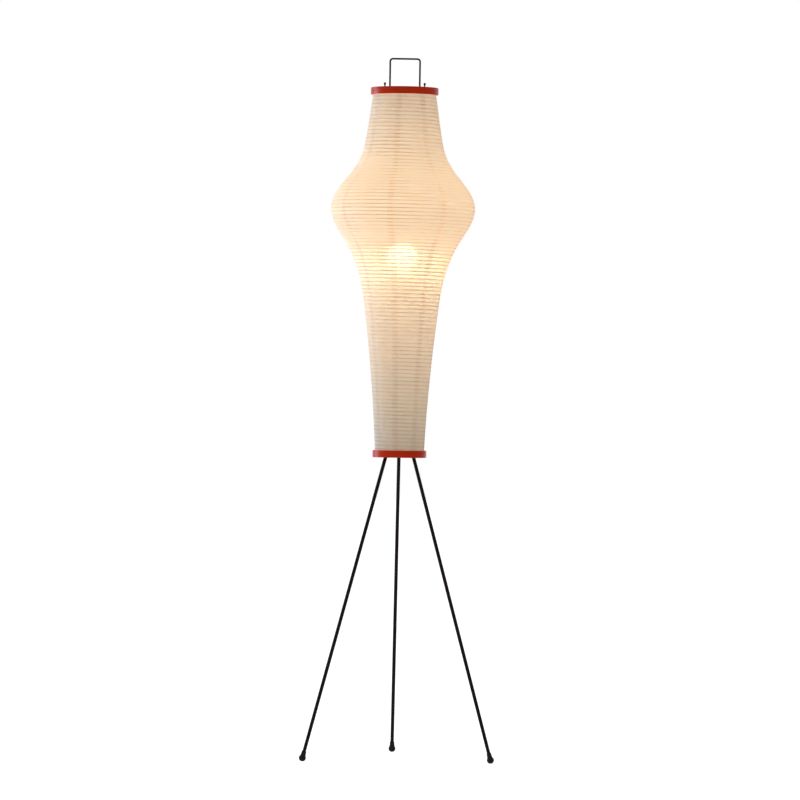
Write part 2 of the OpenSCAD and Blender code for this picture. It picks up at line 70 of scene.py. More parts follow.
# How strongly the paper's painted lamp glow shines at shares of the height between the hoops
PAINTED_GLOW_LEVELS = ((0.0, 0.29), (0.085, 0.36), (0.2, 0.48), (0.31, 0.61), (0.41, 0.67), (0.5, 0.53), (0.56, 0.42),
               (0.58, 0.47), (0.6, 0.60), (0.63, 0.60), (0.70, 0.63), (0.87, 0.64), (1.0, 0.50))

# What the frame says of the hoops, between which the shade hangs
LOWER_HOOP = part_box("lower_ring")
UPPER_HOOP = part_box("upper_ring")
# The hoops' wall, and how far inside their outside the paper lies
HOOP_WALL, PAPER_INSET = 0.0045, 0.0048


# ---- Colour ----

def linear(code, alpha=1.0):
    """An sRGB hex colour as Blender's linear one."""
    parts = [int(code[i:i + 2], 16) / 255 for i in (1, 3, 5)]
    return tuple(c / 12.92 if c <= 0.04045 else ((c + 0.055) / 1.055) ** 2.4 for c in parts) + (alpha,)


# ---- Settings ----

class ShadeSettings(bpy.types.PropertyGroup):
    """Sizes of the paper shade and the rib inside it"""

    waist: FloatProperty(
        name="Waist Radius", description="Radius where the cone begins to open",
        default=0.086, unit="LENGTH")
    lower_flare: FloatProperty(
        name="Lower Flare Radius", description="Radius under the belly",
        default=0.1135, unit="LENGTH")
    belly: FloatProperty(
        name="Belly Radius", description="Radius of the widest place",
        default=0.162, unit="LENGTH")
    upper_flare: FloatProperty(
        name="Upper Flare Radius", description="Radius above the belly",
        default=0.124, unit="LENGTH")
    neck: FloatProperty(
        name="Neck Radius", description="Radius of the neck",
        default=0.088, unit="LENGTH")
    thickness: FloatProperty(
        name="Paper Thickness", description="Thickness of the pasted paper",
        default=0.0006, unit="LENGTH")
    tuck: FloatProperty(
        name="Tuck", description="How far the paper reaches inside each hoop",
        default=0.006, unit="LENGTH")
    draw_in: FloatProperty(
        name="Draw-in", description="How far the paper sinks between two turns of the rib",
        default=0.0004, unit="LENGTH")
    gores: IntProperty(name="Gores", description="Number of upright strips of paper", default=8, min=2)
    first_seam: FloatProperty(
        name="First Seam", description="Direction of the first seam",
        default=math.radians(33), subtype="ANGLE")
    rib_pitch: FloatProperty(
        name="Rib Pitch", description="Distance from one turn of the rib to the next along the paper",
        default=0.0085, unit="LENGTH")
    rib_width: FloatProperty(
        name="Rib Width", description="Width of the split bamboo strip", default=0.0012, unit="LENGTH")
    rib_thickness: FloatProperty(
        name="Rib Thickness", description="Thickness of the split bamboo strip",
        default=0.001, unit="LENGTH")


class FinishSettings(bpy.types.PropertyGroup):
    """Colours of the finishes, and the bulb's brightness"""

    paper: FloatVectorProperty(
        name="Paper", description="Washi in front light", subtype="COLOR", size=4,
        min=0, max=1, default=linear("#f3ebde"))
    paper_lit: FloatVectorProperty(
        name="Paper, Lit Through", description="Washi with light behind it", subtype="COLOR", size=4,
        min=0, max=1, default=linear("#fdf4e4"))
    # Colour of the lamp glow painted on the paper
    paper_glow: FloatVectorProperty(
        name="Paper Glow", description="Lamp light that the paper spreads", subtype="COLOR", size=4,
        min=0, max=1, default=(1.0, 0.69, 0.43, 1.0))
    lacquer: FloatVectorProperty(
        name="Lacquer", description="Red-orange lacquer of the hoops", subtype="COLOR", size=4,
        min=0, max=1, default=linear("#f03c0a"))
    enamel: FloatVectorProperty(
        name="Enamel", description="Near-black enamel of the legs and wires", subtype="COLOR", size=4,
        min=0, max=1, default=linear("#110805"))
    bulb_glow: FloatVectorProperty(
        name="Bulb Glow", description="Colour of the lit opal glass", subtype="COLOR", size=4,
        min=0, max=1, default=(1.0, 0.76, 0.48, 1.0))
    bulb_strength: FloatProperty(
        name="Bulb Strength", description="Brightness of the lit opal glass", default=15.5, min=0)


class StageSettings(bpy.types.PropertyGroup):
    """Camera and lights"""

    camera_distance: FloatProperty(
        name="Camera Distance", description="From the lamp's axis", default=12.3, unit="LENGTH")
    camera_height: FloatProperty(
        name="Camera Height", description="Above the floor", default=0.818, unit="LENGTH")
    camera_turn: FloatProperty(
        name="Camera Turn", description="Round the lamp, from straight in front to its left",
        default=math.radians(1.66), subtype="ANGLE")
    camera_roll: FloatProperty(
        name="Camera Roll", description="Tilt of the picture", default=math.radians(0.85), subtype="ANGLE")
    frame_height: FloatProperty(
        name="Frame Height", description="Height that the picture takes in at the lamp",
        default=1.792, unit="LENGTH")
    key_power: FloatProperty(
        name="Key Light", description="Power of the large cool light from behind on the left",
        default=76.0, min=0, unit="POWER")
    room_light: FloatProperty(
        name="Room Light", description="Strength of the even light from all sides", default=0.44, min=0)


# ---- Nodes ----

def add(tree, kind, inputs=(), **settings):
    """Adds a node with its settings. Inputs are values, nodes or (node, output), in order or by socket."""
    node = tree.nodes.new(kind)
    for name, value in settings.items():
        setattr(node, name, value)
    for place, value in inputs.items() if isinstance(inputs, dict) else enumerate(inputs):
        if isinstance(value, bpy.types.Node):
            tree.links.new(value.outputs[0], node.inputs[place])
        elif isinstance(value, tuple) and isinstance(value[0], bpy.types.Node):
            tree.links.new(value[0].outputs[value[1]], node.inputs[place])
        elif value is not None:
            node.inputs[place].default_value = value
    return node


def finish_of(build):
    """The material named after build. The first time, build(tree) makes it and returns its last node."""
    name = build.__name__
    material = bpy.data.materials.get(name)
    if material is None:
        material = bpy.data.materials.new(name)
        material.use_nodes = True
        tree = material.node_tree
        tree.nodes.clear()
        add(tree, "ShaderNodeOutputMaterial", {"Surface": build(tree)})
    return material


def mottled(tree, scale, detail, dark, light):
    """Noise on the piece's own coordinates, and the colour that it mixes from two hex codes. The patches are
    about 1 / scale metres across."""
    place = add(tree, "ShaderNodeTexCoord")
    noise = add(tree, "ShaderNodeTexNoise", {"Vector": (place, "Object"), "Scale": scale, "Detail": detail})
    colour = add(tree, "ShaderNodeMix", {0: noise, 6: linear(dark), 7: linear(light)}, data_type="RGBA")
    return noise, (colour, 2)


def streaked(tree, stretch, detail):
    """Noise stretched along the piece's axes: each streak measures about 1 / stretch metres along an axis."""
    place = add(tree, "ShaderNodeTexCoord")
    drawn = add(tree, "ShaderNodeMapping", {"Vector": (place, "Object"), "Scale": stretch})
    return add(tree, "ShaderNodeTexNoise", {"Vector": drawn, "Scale": 1, "Detail": detail})


def coated(tree, colour, gloss, relief=None, **settings):
    """A surface with uneven gloss and relief. gloss is a roughness, or (noise, least, most) for one that
    varies with the noise, and relief is (height, strength, depth)."""
    if isinstance(gloss, tuple):
        noise, least, most = gloss
        gloss = add(tree, "ShaderNodeMapRange", [noise, 0.3, 0.7, least, most])
    sockets = {"Base Color": colour, "Roughness": gloss}
    if relief:
        height, strength, depth = relief
        sockets["Normal"] = add(tree, "ShaderNodeBump", {
            "Strength": strength, "Distance": depth, "Height": height})
    sockets.update({label.replace("_", " "): value for label, value in settings.items()})
    return add(tree, "ShaderNodeBsdfPrincipled", sockets)


# ---- Finishes ----

# Shares of the light at the paper: what it lets through scattered, and what passes as haze
SCATTERED, HAZE = 0.42, 0.042


def pasted_washi(tree):
    """Hand-made mulberry paper, pasted over the rib: matt, cloudy where the pulp lies thicker, with long
    fibres, a little darker where two gores overlap and along the rib behind it, where glue and painted
    shade of the rib darken it, and with the lamp's glow painted on it by height."""
    finishes = bpy.context.scene.lantern_finish
    place = add(tree, "ShaderNodeTexCoord")
    # Clouds of pulp, 6 to 30 mm across
    clouds = add(tree, "ShaderNodeTexNoise", {"Vector": (place, "Object"), "Scale": 55, "Detail": 4,
                                              "Roughness": 0.6})
    cloud = add(tree, "ShaderNodeMapRange", [clouds, 0.3, 0.7, 0.93, 1.05])
    # Fibres about 17 mm long, drawn 1 mm wide so that they show
    tilted = add(tree, "ShaderNodeMapping", {"Vector": (place, "Object"), "Rotation": (0.5, 0.35, 0.2),
                                             "Scale": (60, 60, 900)})
    crossed = add(tree, "ShaderNodeMapping", {"Vector": (place, "Object"), "Rotation": (-0.6, -0.3, 1.1),
                                              "Scale": (60, 60, 1000)})
    strands = [add(tree, "ShaderNodeTexNoise", {"Vector": way, "Scale": 1, "Detail": 1, "Distortion": 0.6})
               for way in (tilted, crossed)]
    fibre = add(tree, "ShaderNodeMath", strands, operation="MAXIMUM")
    fibres = add(tree, "ShaderNodeMapRange", [fibre, 0.62, 0.78, 1.0, 0.9])
    # Seams: two layers of paper for 4 mm on each side of the joint, fading out by 8.5 mm
    seam = add(tree, "ShaderNodeAttribute", attribute_name="seam")
    seams = add(tree, "ShaderNodeMapRange", [(seam, "Fac"), 0.0040, 0.0085, 0.89, 1.0],
                interpolation_type="SMOOTHSTEP")
    # Rib: a line 1.4 mm wide, which fades out over 4.2 mm, where glue soaks the paper and where painted shade
    # of the rib darkens the paper and its painted glow
    rib = add(tree, "ShaderNodeAttribute", attribute_name="rib")
    line = add(tree, "ShaderNodeMapRange", [(rib, "Fac"), 0.0007, 0.0021, 0.74, 1.03],
               interpolation_type="SMOOTHSTEP")
    # The rib line, glue and painted shade alike, shows more in some stretches of 40 to 100 mm than in others
    stretch = add(tree, "ShaderNodeTexNoise", {"Vector": (place, "Object"), "Scale": 14, "Detail": 2})
    rib_line_strength = add(tree, "ShaderNodeMapRange", [stretch, 0.38, 0.6, 0.55, 1.1])
    ribs = add(tree, "ShaderNodeMix", {0: rib_line_strength, 2: 1.0, 3: line}, clamp_factor=False)
    # Each gore is cut from another part of the sheet, a little thicker or thinner
    spot = add(tree, "ShaderNodeSeparateXYZ", [(place, "Object")])
    turn = add(tree, "ShaderNodeMath", [(spot, "Y"), (spot, "X")], operation="ARCTAN2")
    shade = bpy.context.scene.lantern_shade
    from_seam = add(tree, "ShaderNodeMath", [turn, shade.first_seam], operation="SUBTRACT")
    share = add(tree, "ShaderNodeMath", [from_seam, shade.gores / (2 * math.pi)], operation="MULTIPLY")
    number = add(tree, "ShaderNodeMath", [share], operation="FLOOR")
    piece = add(tree, "ShaderNodeTexWhiteNoise", {"W": number}, noise_dimensions="1D")
    weight = add(tree, "ShaderNodeMapRange", [(piece, "Value"), 0.0, 1.0, 0.965, 1.025])
    pulp = add(tree, "ShaderNodeMath", [cloud, fibres], operation="MULTIPLY")
    sheets = add(tree, "ShaderNodeMath", [seams, weight], operation="MULTIPLY")
    layers = add(tree, "ShaderNodeMath", [sheets, ribs], operation="MULTIPLY")
    through = add(tree, "ShaderNodeMath", [pulp, layers], operation="MULTIPLY")
    lit = add(tree, "ShaderNodeMix", {0: 1.0, 6: tuple(finishes.paper_lit), 7: through},
              data_type="RGBA", blend_type="MULTIPLY")
    front = add(tree, "ShaderNodeMix", {0: 0.5, 6: tuple(finishes.paper), 7: through},
                data_type="RGBA", blend_type="MULTIPLY")
    grain = add(tree, "ShaderNodeTexNoise", {"Vector": (place, "Object"), "Scale": 700, "Detail": 3})
    rough = add(tree, "ShaderNodeMath", [grain, through], operation="ADD")
    bump = add(tree, "ShaderNodeBump", {"Strength": 0.35, "Distance": 0.0002, "Height": rough})
    # Painted lamp glow, for lamp light that has wandered in the paper: weaker down the cone and at the
    # neck's top, and less where the bulb's own light comes through
    height = add(tree, "ShaderNodeMapRange", [(spot, "Z"), LOWER_HOOP[1].z, UPPER_HOOP[0].z, 0.0, 1.0])
    level = add(tree, "ShaderNodeFloatCurve", {"Value": height})
    steps = level.mapping.curves[0].points
    steps[0].location, steps[1].location = PAINTED_GLOW_LEVELS[0], PAINTED_GLOW_LEVELS[-1]
    for share_up, brightness in PAINTED_GLOW_LEVELS[1:-1]:
        steps.new(share_up, brightness)
    strength = add(tree, "ShaderNodeMath", [level, through], operation="MULTIPLY")
    # The paper's emission is the painted lamp glow
    paper = add(tree, "ShaderNodeBsdfPrincipled", {
        "Base Color": (front, 2), "Roughness": 0.85, "Specular IOR Level": 0.15,
        "Sheen Weight": 0.1, "Sheen Roughness": 0.6, "Emission Color": tuple(finishes.paper_glow),
        "Emission Strength": strength, "Normal": bump})
    glow = add(tree, "ShaderNodeBsdfTranslucent", {"Color": (lit, 2), "Normal": bump})
    sheet = add(tree, "ShaderNodeMixShader", [SCATTERED, paper, glow])
    # The bulb's outline shows softly through thin paper
    haze = add(tree, "ShaderNodeBsdfRefraction", {
        "Color": (1.0, 1.0, 1.0, 1.0), "Roughness": 0.75, "IOR": 1.12})
    thin = add(tree, "ShaderNodeMixShader", [HAZE, sheet, haze])
    # Both faces of the wall are one sheet: light that has passed one face leaves by the other unchanged
    back = add(tree, "ShaderNodeNewGeometry")
    clear = add(tree, "ShaderNodeBsdfTransparent")
    return add(tree, "ShaderNodeMixShader", [(back, "Backfacing"), thin, clear])


def split_bamboo(tree):
    """Split bamboo strip: straw coloured, grain about 1 mm wide, a low sheen."""
    grain, colour = mottled(tree, 900, 3, "#a08c68", "#cfbd98")
    return coated(tree, colour, 0.55, (grain, 0.3, 0.0001))


def red_lacquer_on_bent_wood(tree):
    """Bent wood under red-orange lacquer: deep and glossy, with the grain just felt through the coat
    and a slanted scarf joint at the back."""
    place = add(tree, "ShaderNodeTexCoord")
    spot = add(tree, "ShaderNodeSeparateXYZ", [(place, "Object")])
    turn = add(tree, "ShaderNodeMath", [(spot, "Y"), (spot, "X")], operation="ARCTAN2")
    # Grain runs round the hoop in lines about 0.8 mm apart
    lengthwise = add(tree, "ShaderNodeCombineXYZ", [turn, 0.0, (spot, "Z")])
    stretched = add(tree, "ShaderNodeMapping", {"Vector": lengthwise, "Scale": (3, 1, 1200)})
    grain = add(tree, "ShaderNodeTexNoise", {"Vector": stretched, "Scale": 1, "Detail": 4, "Distortion": 0.3})
    # Pooled and thin places of the brushed coat, 10 to 40 mm
    coat = add(tree, "ShaderNodeTexNoise", {"Vector": (place, "Object"), "Scale": 45, "Detail": 3})
    depth = add(tree, "ShaderNodeMapRange", [coat, 0.3, 0.7, 0.0, 1.0])
    red = tuple(bpy.context.scene.lantern_finish.lacquer)
    dark = tuple(c * 0.84 for c in red[:3]) + (1.0,)
    body = add(tree, "ShaderNodeMix", {0: depth, 6: dark, 7: red}, data_type="RGBA")
    veins = add(tree, "ShaderNodeMapRange", [grain, 0.45, 0.75, 0.0, 0.2])
    veined = add(tree, "ShaderNodeMix", {0: veins, 6: (body, 2), 7: linear("#7a1a05")}, data_type="RGBA")
    # Scarf joint: a line across the back that falls 16 mm in 40 degrees
    height = add(tree, "ShaderNodeMath", [(spot, "Z"), 1 / 0.016], operation="MULTIPLY")
    slant = add(tree, "ShaderNodeMath", [turn, 1.43, height], operation="MULTIPLY_ADD")
    offset = add(tree, "ShaderNodeMath", [slant, 0.5], operation="SUBTRACT")
    rear = add(tree, "ShaderNodeMath", [(spot, "Y"), 0.04], operation="GREATER_THAN")
    near = add(tree, "ShaderNodeMath", [offset], operation="FRACT")
    line = add(tree, "ShaderNodeMath", [near, 0.5, 0.012], operation="COMPARE")
    joint = add(tree, "ShaderNodeMath", [line, rear], operation="MULTIPLY")
    side = add(tree, "ShaderNodeMath", [(spot, "X"), 0.0, 0.02], operation="COMPARE")
    scarf = add(tree, "ShaderNodeMath", [joint, side], operation="MULTIPLY")
    colour = add(tree, "ShaderNodeMix", {0: scarf, 6: (veined, 2), 7: linear("#4a0f04")}, data_type="RGBA")
    relief = add(tree, "ShaderNodeMath", [grain, scarf], operation="SUBTRACT")
    return coated(tree, (colour, 2), (coat, 0.2, 0.32), (relief, 0.2, 0.00003), Specular_IOR_Level=0.1)


def enamelled_steel(tree):
    """Steel rod and wire in baked near-black enamel: satin, with a faint orange peel of 2.4 mm
    and tones that change over 45 mm."""
    base = tuple(bpy.context.scene.lantern_finish.enamel)
    place = add(tree, "ShaderNodeTexCoord")
    peel = add(tree, "ShaderNodeTexNoise", {"Vector": (place, "Object"), "Scale": 420, "Detail": 2})
    rubbed = add(tree, "ShaderNodeTexNoise", {"Vector": (place, "Object"), "Scale": 22, "Detail": 2})
    tone = add(tree, "ShaderNodeMapRange", [rubbed, 0.35, 0.75, 0.0, 0.5])
    colour = add(tree, "ShaderNodeMix", {0: tone, 6: base, 7: linear("#170d08")}, data_type="RGBA")
    return coated(tree, (colour, 2), (rubbed, 0.34, 0.5), (peel, 0.2, 0.00003), Specular_IOR_Level=0.08)


def zinc_plated_steel(tree):
    """Turned steel with a bright zinc plating: pale grey, with tool marks 0.25 mm apart and
    duller patches of 6 mm."""
    dull, colour = mottled(tree, 160, 4, "#a3a5a8", "#c9cbcc")
    marks = streaked(tree, (400, 400, 4000), 2)
    return coated(tree, colour, (dull, 0.22, 0.42), (marks, 0.2, 0.00005), Metallic=1.0)


def moulded_rubber(tree):
    """Moulded black rubber: matt, a little paler where dust lies, in patches of 4 mm, and
    with pores of 0.6 mm."""
    place = add(tree, "ShaderNodeTexCoord")
    dust = add(tree, "ShaderNodeTexNoise", {"Vector": (place, "Object"), "Scale": 260, "Detail": 5})
    amount = add(tree, "ShaderNodeMapRange", [dust, 0.5, 0.8, 0.0, 0.5])
    colour = add(tree, "ShaderNodeMix", {0: amount, 6: linear("#080605"), 7: linear("#1b1816")},
                 data_type="RGBA")
    pores = add(tree, "ShaderNodeTexNoise", {"Vector": (place, "Object"), "Scale": 1600, "Detail": 2})
    return coated(tree, (colour, 2), 0.72, (pores, 0.3, 0.00008), Specular_IOR_Level=0.2)


def phenolic_resin(tree):
    """Moulded phenolic: black, hard and glossy, with a faint 2 mm mottle of filler."""
    filler, colour = mottled(tree, 500, 3, "#161210", "#2a221e")
    return coated(tree, colour, (filler, 0.18, 0.3), IOR=1.55)


def glazed_porcelain(tree):
    """Glazed white porcelain: warm white under a clear glaze that pools about every 5 mm."""
    pool, colour = mottled(tree, 220, 2, "#e2dccb", "#f1eee4")
    return coated(tree, colour, 0.12, (pool, 0.2, 0.0001), Coat_Weight=0.5, Coat_Roughness=0.05)


def pressed_brass(tree):
    """Pressed sheet brass: yellow, with brown tarnish in patches of 3 mm."""
    tarnish, colour = mottled(tree, 300, 4, "#d9b15c", "#a37a38")
    return coated(tree, colour, (tarnish, 0.2, 0.45), Metallic=1.0)


def rolled_aluminium(tree):
    """Rolled aluminium of a bulb's cap: light, soft gloss, with draw lines 0.4 mm apart round it."""
    drawn = streaked(tree, (90, 90, 2600), 3)
    colour = add(tree, "ShaderNodeMix", {0: drawn, 6: linear("#c3c1bc"), 7: linear("#dddbd6")},
                 data_type="RGBA")
    return coated(tree, (colour, 2), (drawn, 0.25, 0.4), Metallic=1.0)


def pressed_black_glass(tree):
    """Pressed black glass of a bulb's foot: opaque, glossy, with a slight ripple of 3 mm."""
    ripple, colour = mottled(tree, 350, 1, "#0d0c10", "#1b1920")
    return coated(tree, colour, 0.08, (ripple, 0.3, 0.0002), IOR=1.5)


def opal_glass(tree):
    """Opal glass from inside: milky white and matt, in clouds of 11 mm."""
    _, colour = mottled(tree, 90, 2, "#ece6da", "#f8f4ea")
    return coated(tree, colour, 0.5)


def opal_glass_lit(tree):
    """Blown opal glass, lit: a warm glow that grows from the neck to the globe, under a smooth gloss."""
    finishes = bpy.context.scene.lantern_finish
    milk, colour = mottled(tree, 90, 2, "#f1e8d8", "#fbf6ec")
    place = add(tree, "ShaderNodeTexCoord")
    spot = add(tree, "ShaderNodeSeparateXYZ", [(place, "Object")])
    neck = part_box("bulb_glass")[0].z
    level = add(tree, "ShaderNodeMapRange", [(spot, "Z"), neck + 0.005, neck + 0.062, 0.28, 1.22],
                interpolation_type="SMOOTHSTEP")
    even = add(tree, "ShaderNodeMapRange", [milk, 0.0, 1.0, 0.97, 1.03])
    share = add(tree, "ShaderNodeMath", [level, even], operation="MULTIPLY")
    strength = add(tree, "ShaderNodeMath", [share, finishes.bulb_strength], operation="MULTIPLY")
    return coated(tree, colour, 0.22, Emission_Color=tuple(finishes.bulb_glow), Emission_Strength=strength)


def pressed_clear_glass(tree):
    """Clear pressed glass of the bulb's stem, with drawn streaks 1.4 mm wide and 17 mm long."""
    drawn = streaked(tree, (700, 700, 60), 2)
    return coated(tree, linear("#eef1ee"), 0.04, (drawn, 0.2, 0.0001), IOR=1.5, Transmission_Weight=1.0)


def glowing_tungsten(tree):
    """Tungsten at white heat, brighter in the middle of the coil."""
    place = add(tree, "ShaderNodeTexCoord")
    spot = add(tree, "ShaderNodeSeparateXYZ", [(place, "Object")])
    out = add(tree, "ShaderNodeMath", [(spot, "X")], operation="ABSOLUTE")
    heat = add(tree, "ShaderNodeMapRange", [out, 0.004, 0.0105, 9.0, 3.0])
    return add(tree, "ShaderNodeBsdfPrincipled", {
        "Base Color": linear("#8c8478"), "Metallic": 1.0, "Roughness": 0.4,
        "Emission Color": (1.0, 0.62, 0.28, 1.0), "Emission Strength": heat})


# ---- Meshes ----

def piece_from(name, mesh, material, body, nodes, sharp=35):
    """Puts a mesh in the scene as a piece that rides on a body and stands for CAD nodes."""
    mesh.name = name
    piece = bpy.data.objects.new(name, mesh)
    bpy.context.scene.collection.objects.link(piece)
    mesh.materials.clear()
    mesh.materials.append(material)
    mesh.polygons.foreach_set("use_smooth", [True] * len(mesh.polygons))
    mesh.set_sharp_from_angle(angle=math.radians(sharp))
    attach(piece, body)
    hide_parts(*nodes)
    return piece


def mesh_of(points, faces, matrix=None):
    """A new mesh from points and faces, moved by a matrix."""
    mesh = bpy.data.meshes.new("mesh")
    mesh.from_pydata([tuple(p) for p in points], [], faces)
    if matrix is not None:
        mesh.transform(matrix)
    mesh.update()
    return mesh


def joined(meshes):
    """One mesh that holds all of these, which are removed."""
    shape = bmesh.new()
    for mesh in meshes:
        shape.from_mesh(mesh)
        bpy.data.meshes.remove(mesh)
    whole = bpy.data.meshes.new("mesh")
    shape.to_mesh(whole)
    shape.free()
    return whole


def rounded(corners, radius, steps=4):
    """A closed outline of (radius, height) points, its corners rounded. A corner may give its own radius."""
    made = []
    count = len(corners)
    for i, corner in enumerate(corners):
        here = Vector(corner[:2])
        before = Vector(corners[i - 1][:2]) - here
        after = Vector(corners[(i + 1) % count][:2]) - here
        r = corner[2] if len(corner) > 2 else radius
        if r <= 0 or here.x <= 1e-9:
            made.append(tuple(here))
            continue
        half = before.angle(after) / 2
        reach = min(r / math.tan(half), 0.45 * before.length, 0.45 * after.length)
        start, end = here + before.normalized() * reach, here + after.normalized() * reach
        for step in range(steps + 1):
            t = step / steps
            made.append(tuple(start * (1 - t) ** 2 + here * 2 * t * (1 - t) + end * t ** 2))
    return made


def turned(outline, segments=64, matrix=None):
    """A solid turned round the Z axis from a closed outline of (radius, height) points, anticlockwise."""
    points, rings = [], []
    for r, z in outline:
        if r < 1e-7:
            rings.append([len(points)] * segments)
            points.append((0.0, 0.0, z))
        else:
            rings.append(list(range(len(points), len(points) + segments)))
            for k in range(segments):
                a = 2 * math.pi * k / segments
                points.append((r * math.cos(a), r * math.sin(a), z))
    faces = []
    for i, ring in enumerate(rings):
        following = rings[(i + 1) % len(rings)]
        for k in range(segments):
            quad = [ring[k], ring[(k + 1) % segments], following[(k + 1) % segments], following[k]]
            face = [v for j, v in enumerate(quad) if v not in quad[:j]]
            if len(face) > 2:
                faces.append(face)
    return mesh_of(points, faces, matrix)


def bent_wire(path, radius, sides=24, dome=0.0005):
    """A round wire along a path of points, with slightly domed ends. It may give a radius for each point."""
    path = [Vector(p) for p in path]
    radii = radius if isinstance(radius, list) else [radius] * len(path)
    tangents = []
    for i in range(len(path)):
        ahead = path[min(i + 1, len(path) - 1)] - path[max(i - 1, 0)]
        tangents.append(ahead.normalized())
    normal = tangents[0].orthogonal().normalized()
    points, rings = [], []

    def ring_at(centre, across, tangent, r):
        other = tangent.cross(across)
        rings.append(list(range(len(points), len(points) + sides)))
        for k in range(sides):
            a = 2 * math.pi * k / sides
            points.append(centre + (across * math.cos(a) + other * math.sin(a)) * r)

    for i, (centre, tangent) in enumerate(zip(path, tangents)):
        if i:
            normal = (normal - tangent * normal.dot(tangent)).normalized()
        if i == 0:
            ring_at(centre, normal, tangent, radii[i] - dome)
            ring_at(centre + tangent * dome, normal, tangent, radii[i])
        elif i == len(path) - 1:
            ring_at(centre - tangent * dome, normal, tangent, radii[i])
            ring_at(centre, normal, tangent, radii[i] - dome)
        else:
            ring_at(centre, normal, tangent, radii[i])
    faces = [[a[k], a[(k + 1) % sides], b[(k + 1) % sides], b[k]]
             for a, b in zip(rings, rings[1:]) for k in range(sides)]
    faces += [list(reversed(rings[0])), rings[-1]]
    return mesh_of(points, faces)


def refined(node, bevel):
    """A CAD node's mesh, merged, with its flat faces whole again and its edges eased."""
    shape = bmesh.new()
    shape.from_mesh(frame["nodes"][node].data)
    bmesh.ops.remove_doubles(shape, verts=shape.verts, dist=2e-6)
    bmesh.ops.dissolve_limit(shape, angle_limit=math.radians(1), verts=shape.verts, edges=shape.edges)
    mesh = bpy.data.meshes.new("mesh")
    shape.to_mesh(mesh)
    shape.free()
    holder = bpy.data.objects.new("easing", mesh)
    bpy.context.scene.collection.objects.link(holder)
    ease = holder.modifiers.new("ease", "BEVEL")
    ease.width, ease.segments, ease.limit_method, ease.angle_limit = bevel, 2, "ANGLE", math.radians(50)
    return evaluated(holder)


def evaluated(holder):
    """The plain mesh of an object with its modifiers; the object is removed."""
    bpy.context.view_layer.update()
    graph = bpy.context.evaluated_depsgraph_get()
    mesh = bpy.data.meshes.new_from_object(holder.evaluated_get(graph))
    old = holder.data
    bpy.data.objects.remove(holder)
    bpy.data.meshes.remove(old)
    return mesh


def grown(tree, seed_mesh, **values):
    """The plain mesh that a Geometry Nodes tree makes from a mesh, with its named inputs set."""
    holder = bpy.data.objects.new("growing", seed_mesh)
    bpy.context.scene.collection.objects.link(holder)
    modifier = holder.modifiers.new("nodes", "NODES")
    modifier.node_group = tree
    sockets = {item.name.lower().replace(" ", "_"): item.identifier for item in tree.interface.items_tree
               if item.in_out == "INPUT"}
    for name, value in values.items():
        modifier[sockets[name]] = value
    return evaluated(holder)


def new_tree(name, inputs):
    """An empty Geometry Nodes tree with named inputs, and the node that gives them."""
    tree = bpy.data.node_groups.new(name, "GeometryNodeTree")
    for way in ("INPUT", "OUTPUT"):
        tree.interface.new_socket("Geometry", in_out=way, socket_type="NodeSocketGeometry")
    for label, kind in inputs.items():
        tree.interface.new_socket(label, in_out="INPUT", socket_type="NodeSocket" + kind)
    return tree, tree.nodes.new("NodeGroupInput")


def ended(tree, given, shape):
    """The tree, whose shape is made real and put in the material that it is given."""
    real = add(tree, "GeometryNodeRealizeInstances", [shape])
    done = add(tree, "GeometryNodeSetMaterial", {"Geometry": real, "Material": (given, "Material")})
    add(tree, "NodeGroupOutput", [done])
    return tree


def unit_grid(tree, across, up):
    """A flat grid with so many corners each way, and each corner's shares of the way across and up."""
    grid = add(tree, "GeometryNodeMeshGrid", {"Size X": 1.0, "Size Y": 1.0, "Vertices X": across,
                                              "Vertices Y": up})
    spot = add(tree, "ShaderNodeSeparateXYZ", [add(tree, "GeometryNodeInputPosition")])
    u, v = [add(tree, "ShaderNodeMath", [(spot, axis), 0.5], operation="ADD") for axis in "XY"]
    return grid, u, v


# ---- Shade ----

def outline_stations():
    """Height, radius and slope of the shade's outline at its main places, as in the part's source."""
    s = bpy.context.scene.lantern_shade
    low_z, top_z = LOWER_HOOP[1].z, UPPER_HOOP[0].z
    low_r, top_r = LOWER_HOOP[1].x - PAPER_INSET, UPPER_HOOP[1].x - PAPER_INSET
    z = {"waist": 1.030, "lower": 1.130, "belly": 1.232, "upper": 1.304, "neck": 1.377}
    waist_slope = (s.lower_flare - low_r) / (z["lower"] - low_z)
    neck_slope = (top_r - s.neck) / (top_z - z["neck"])
    return [
        (low_z, low_r, waist_slope / 3),
        (z["waist"], s.waist, waist_slope),
        (z["lower"], s.lower_flare, 1.13 * (s.belly - s.waist) / (z["belly"] - z["waist"])),
        (z["belly"], s.belly, 0.0),
        (z["upper"], s.upper_flare, 1.65 * (s.neck - s.belly) / (z["neck"] - z["belly"])),
        (z["neck"], s.neck, neck_slope * 1.2),
        (top_z, top_r, neck_slope),
    ]


def shade_outline():
    """Points (radius, height) up the shade a millimetre apart with the tucks, and the length without them."""
    stations, points = outline_stations(), []
    for (z0, r0, m0), (z1, r1, m1) in zip(stations, stations[1:]):
        h = z1 - z0
        steps = round(h / MM)
        for i in range(steps):
            t = i / steps
            r = (r0 * (1 + 2 * t) * (1 - t) ** 2 + r1 * t * t * (3 - 2 * t)
                 + h * m0 * t * (1 - t) ** 2 - h * m1 * t * t * (1 - t))
            points.append((r, z0 + h * t))
    points.append((stations[-1][1], stations[-1][0]))
    length = sum(math.dist(a, b) for a, b in zip(points, points[1:]))
    tuck = bpy.context.scene.lantern_shade.tuck
    low, top = points[0], points[-1]
    points = [(low[0], low[1] - tuck)] + points + [(top[0], top[1] + tuck)]
    return points, length


def outline_mesh(points):
    """The outline as a mesh line in the XZ plane, for the trees to follow."""
    mesh = bpy.data.meshes.new("outline")
    mesh.from_pydata([(r, 0, z) for r, z in points], [(i, i + 1) for i in range(len(points) - 1)], [])
    return mesh


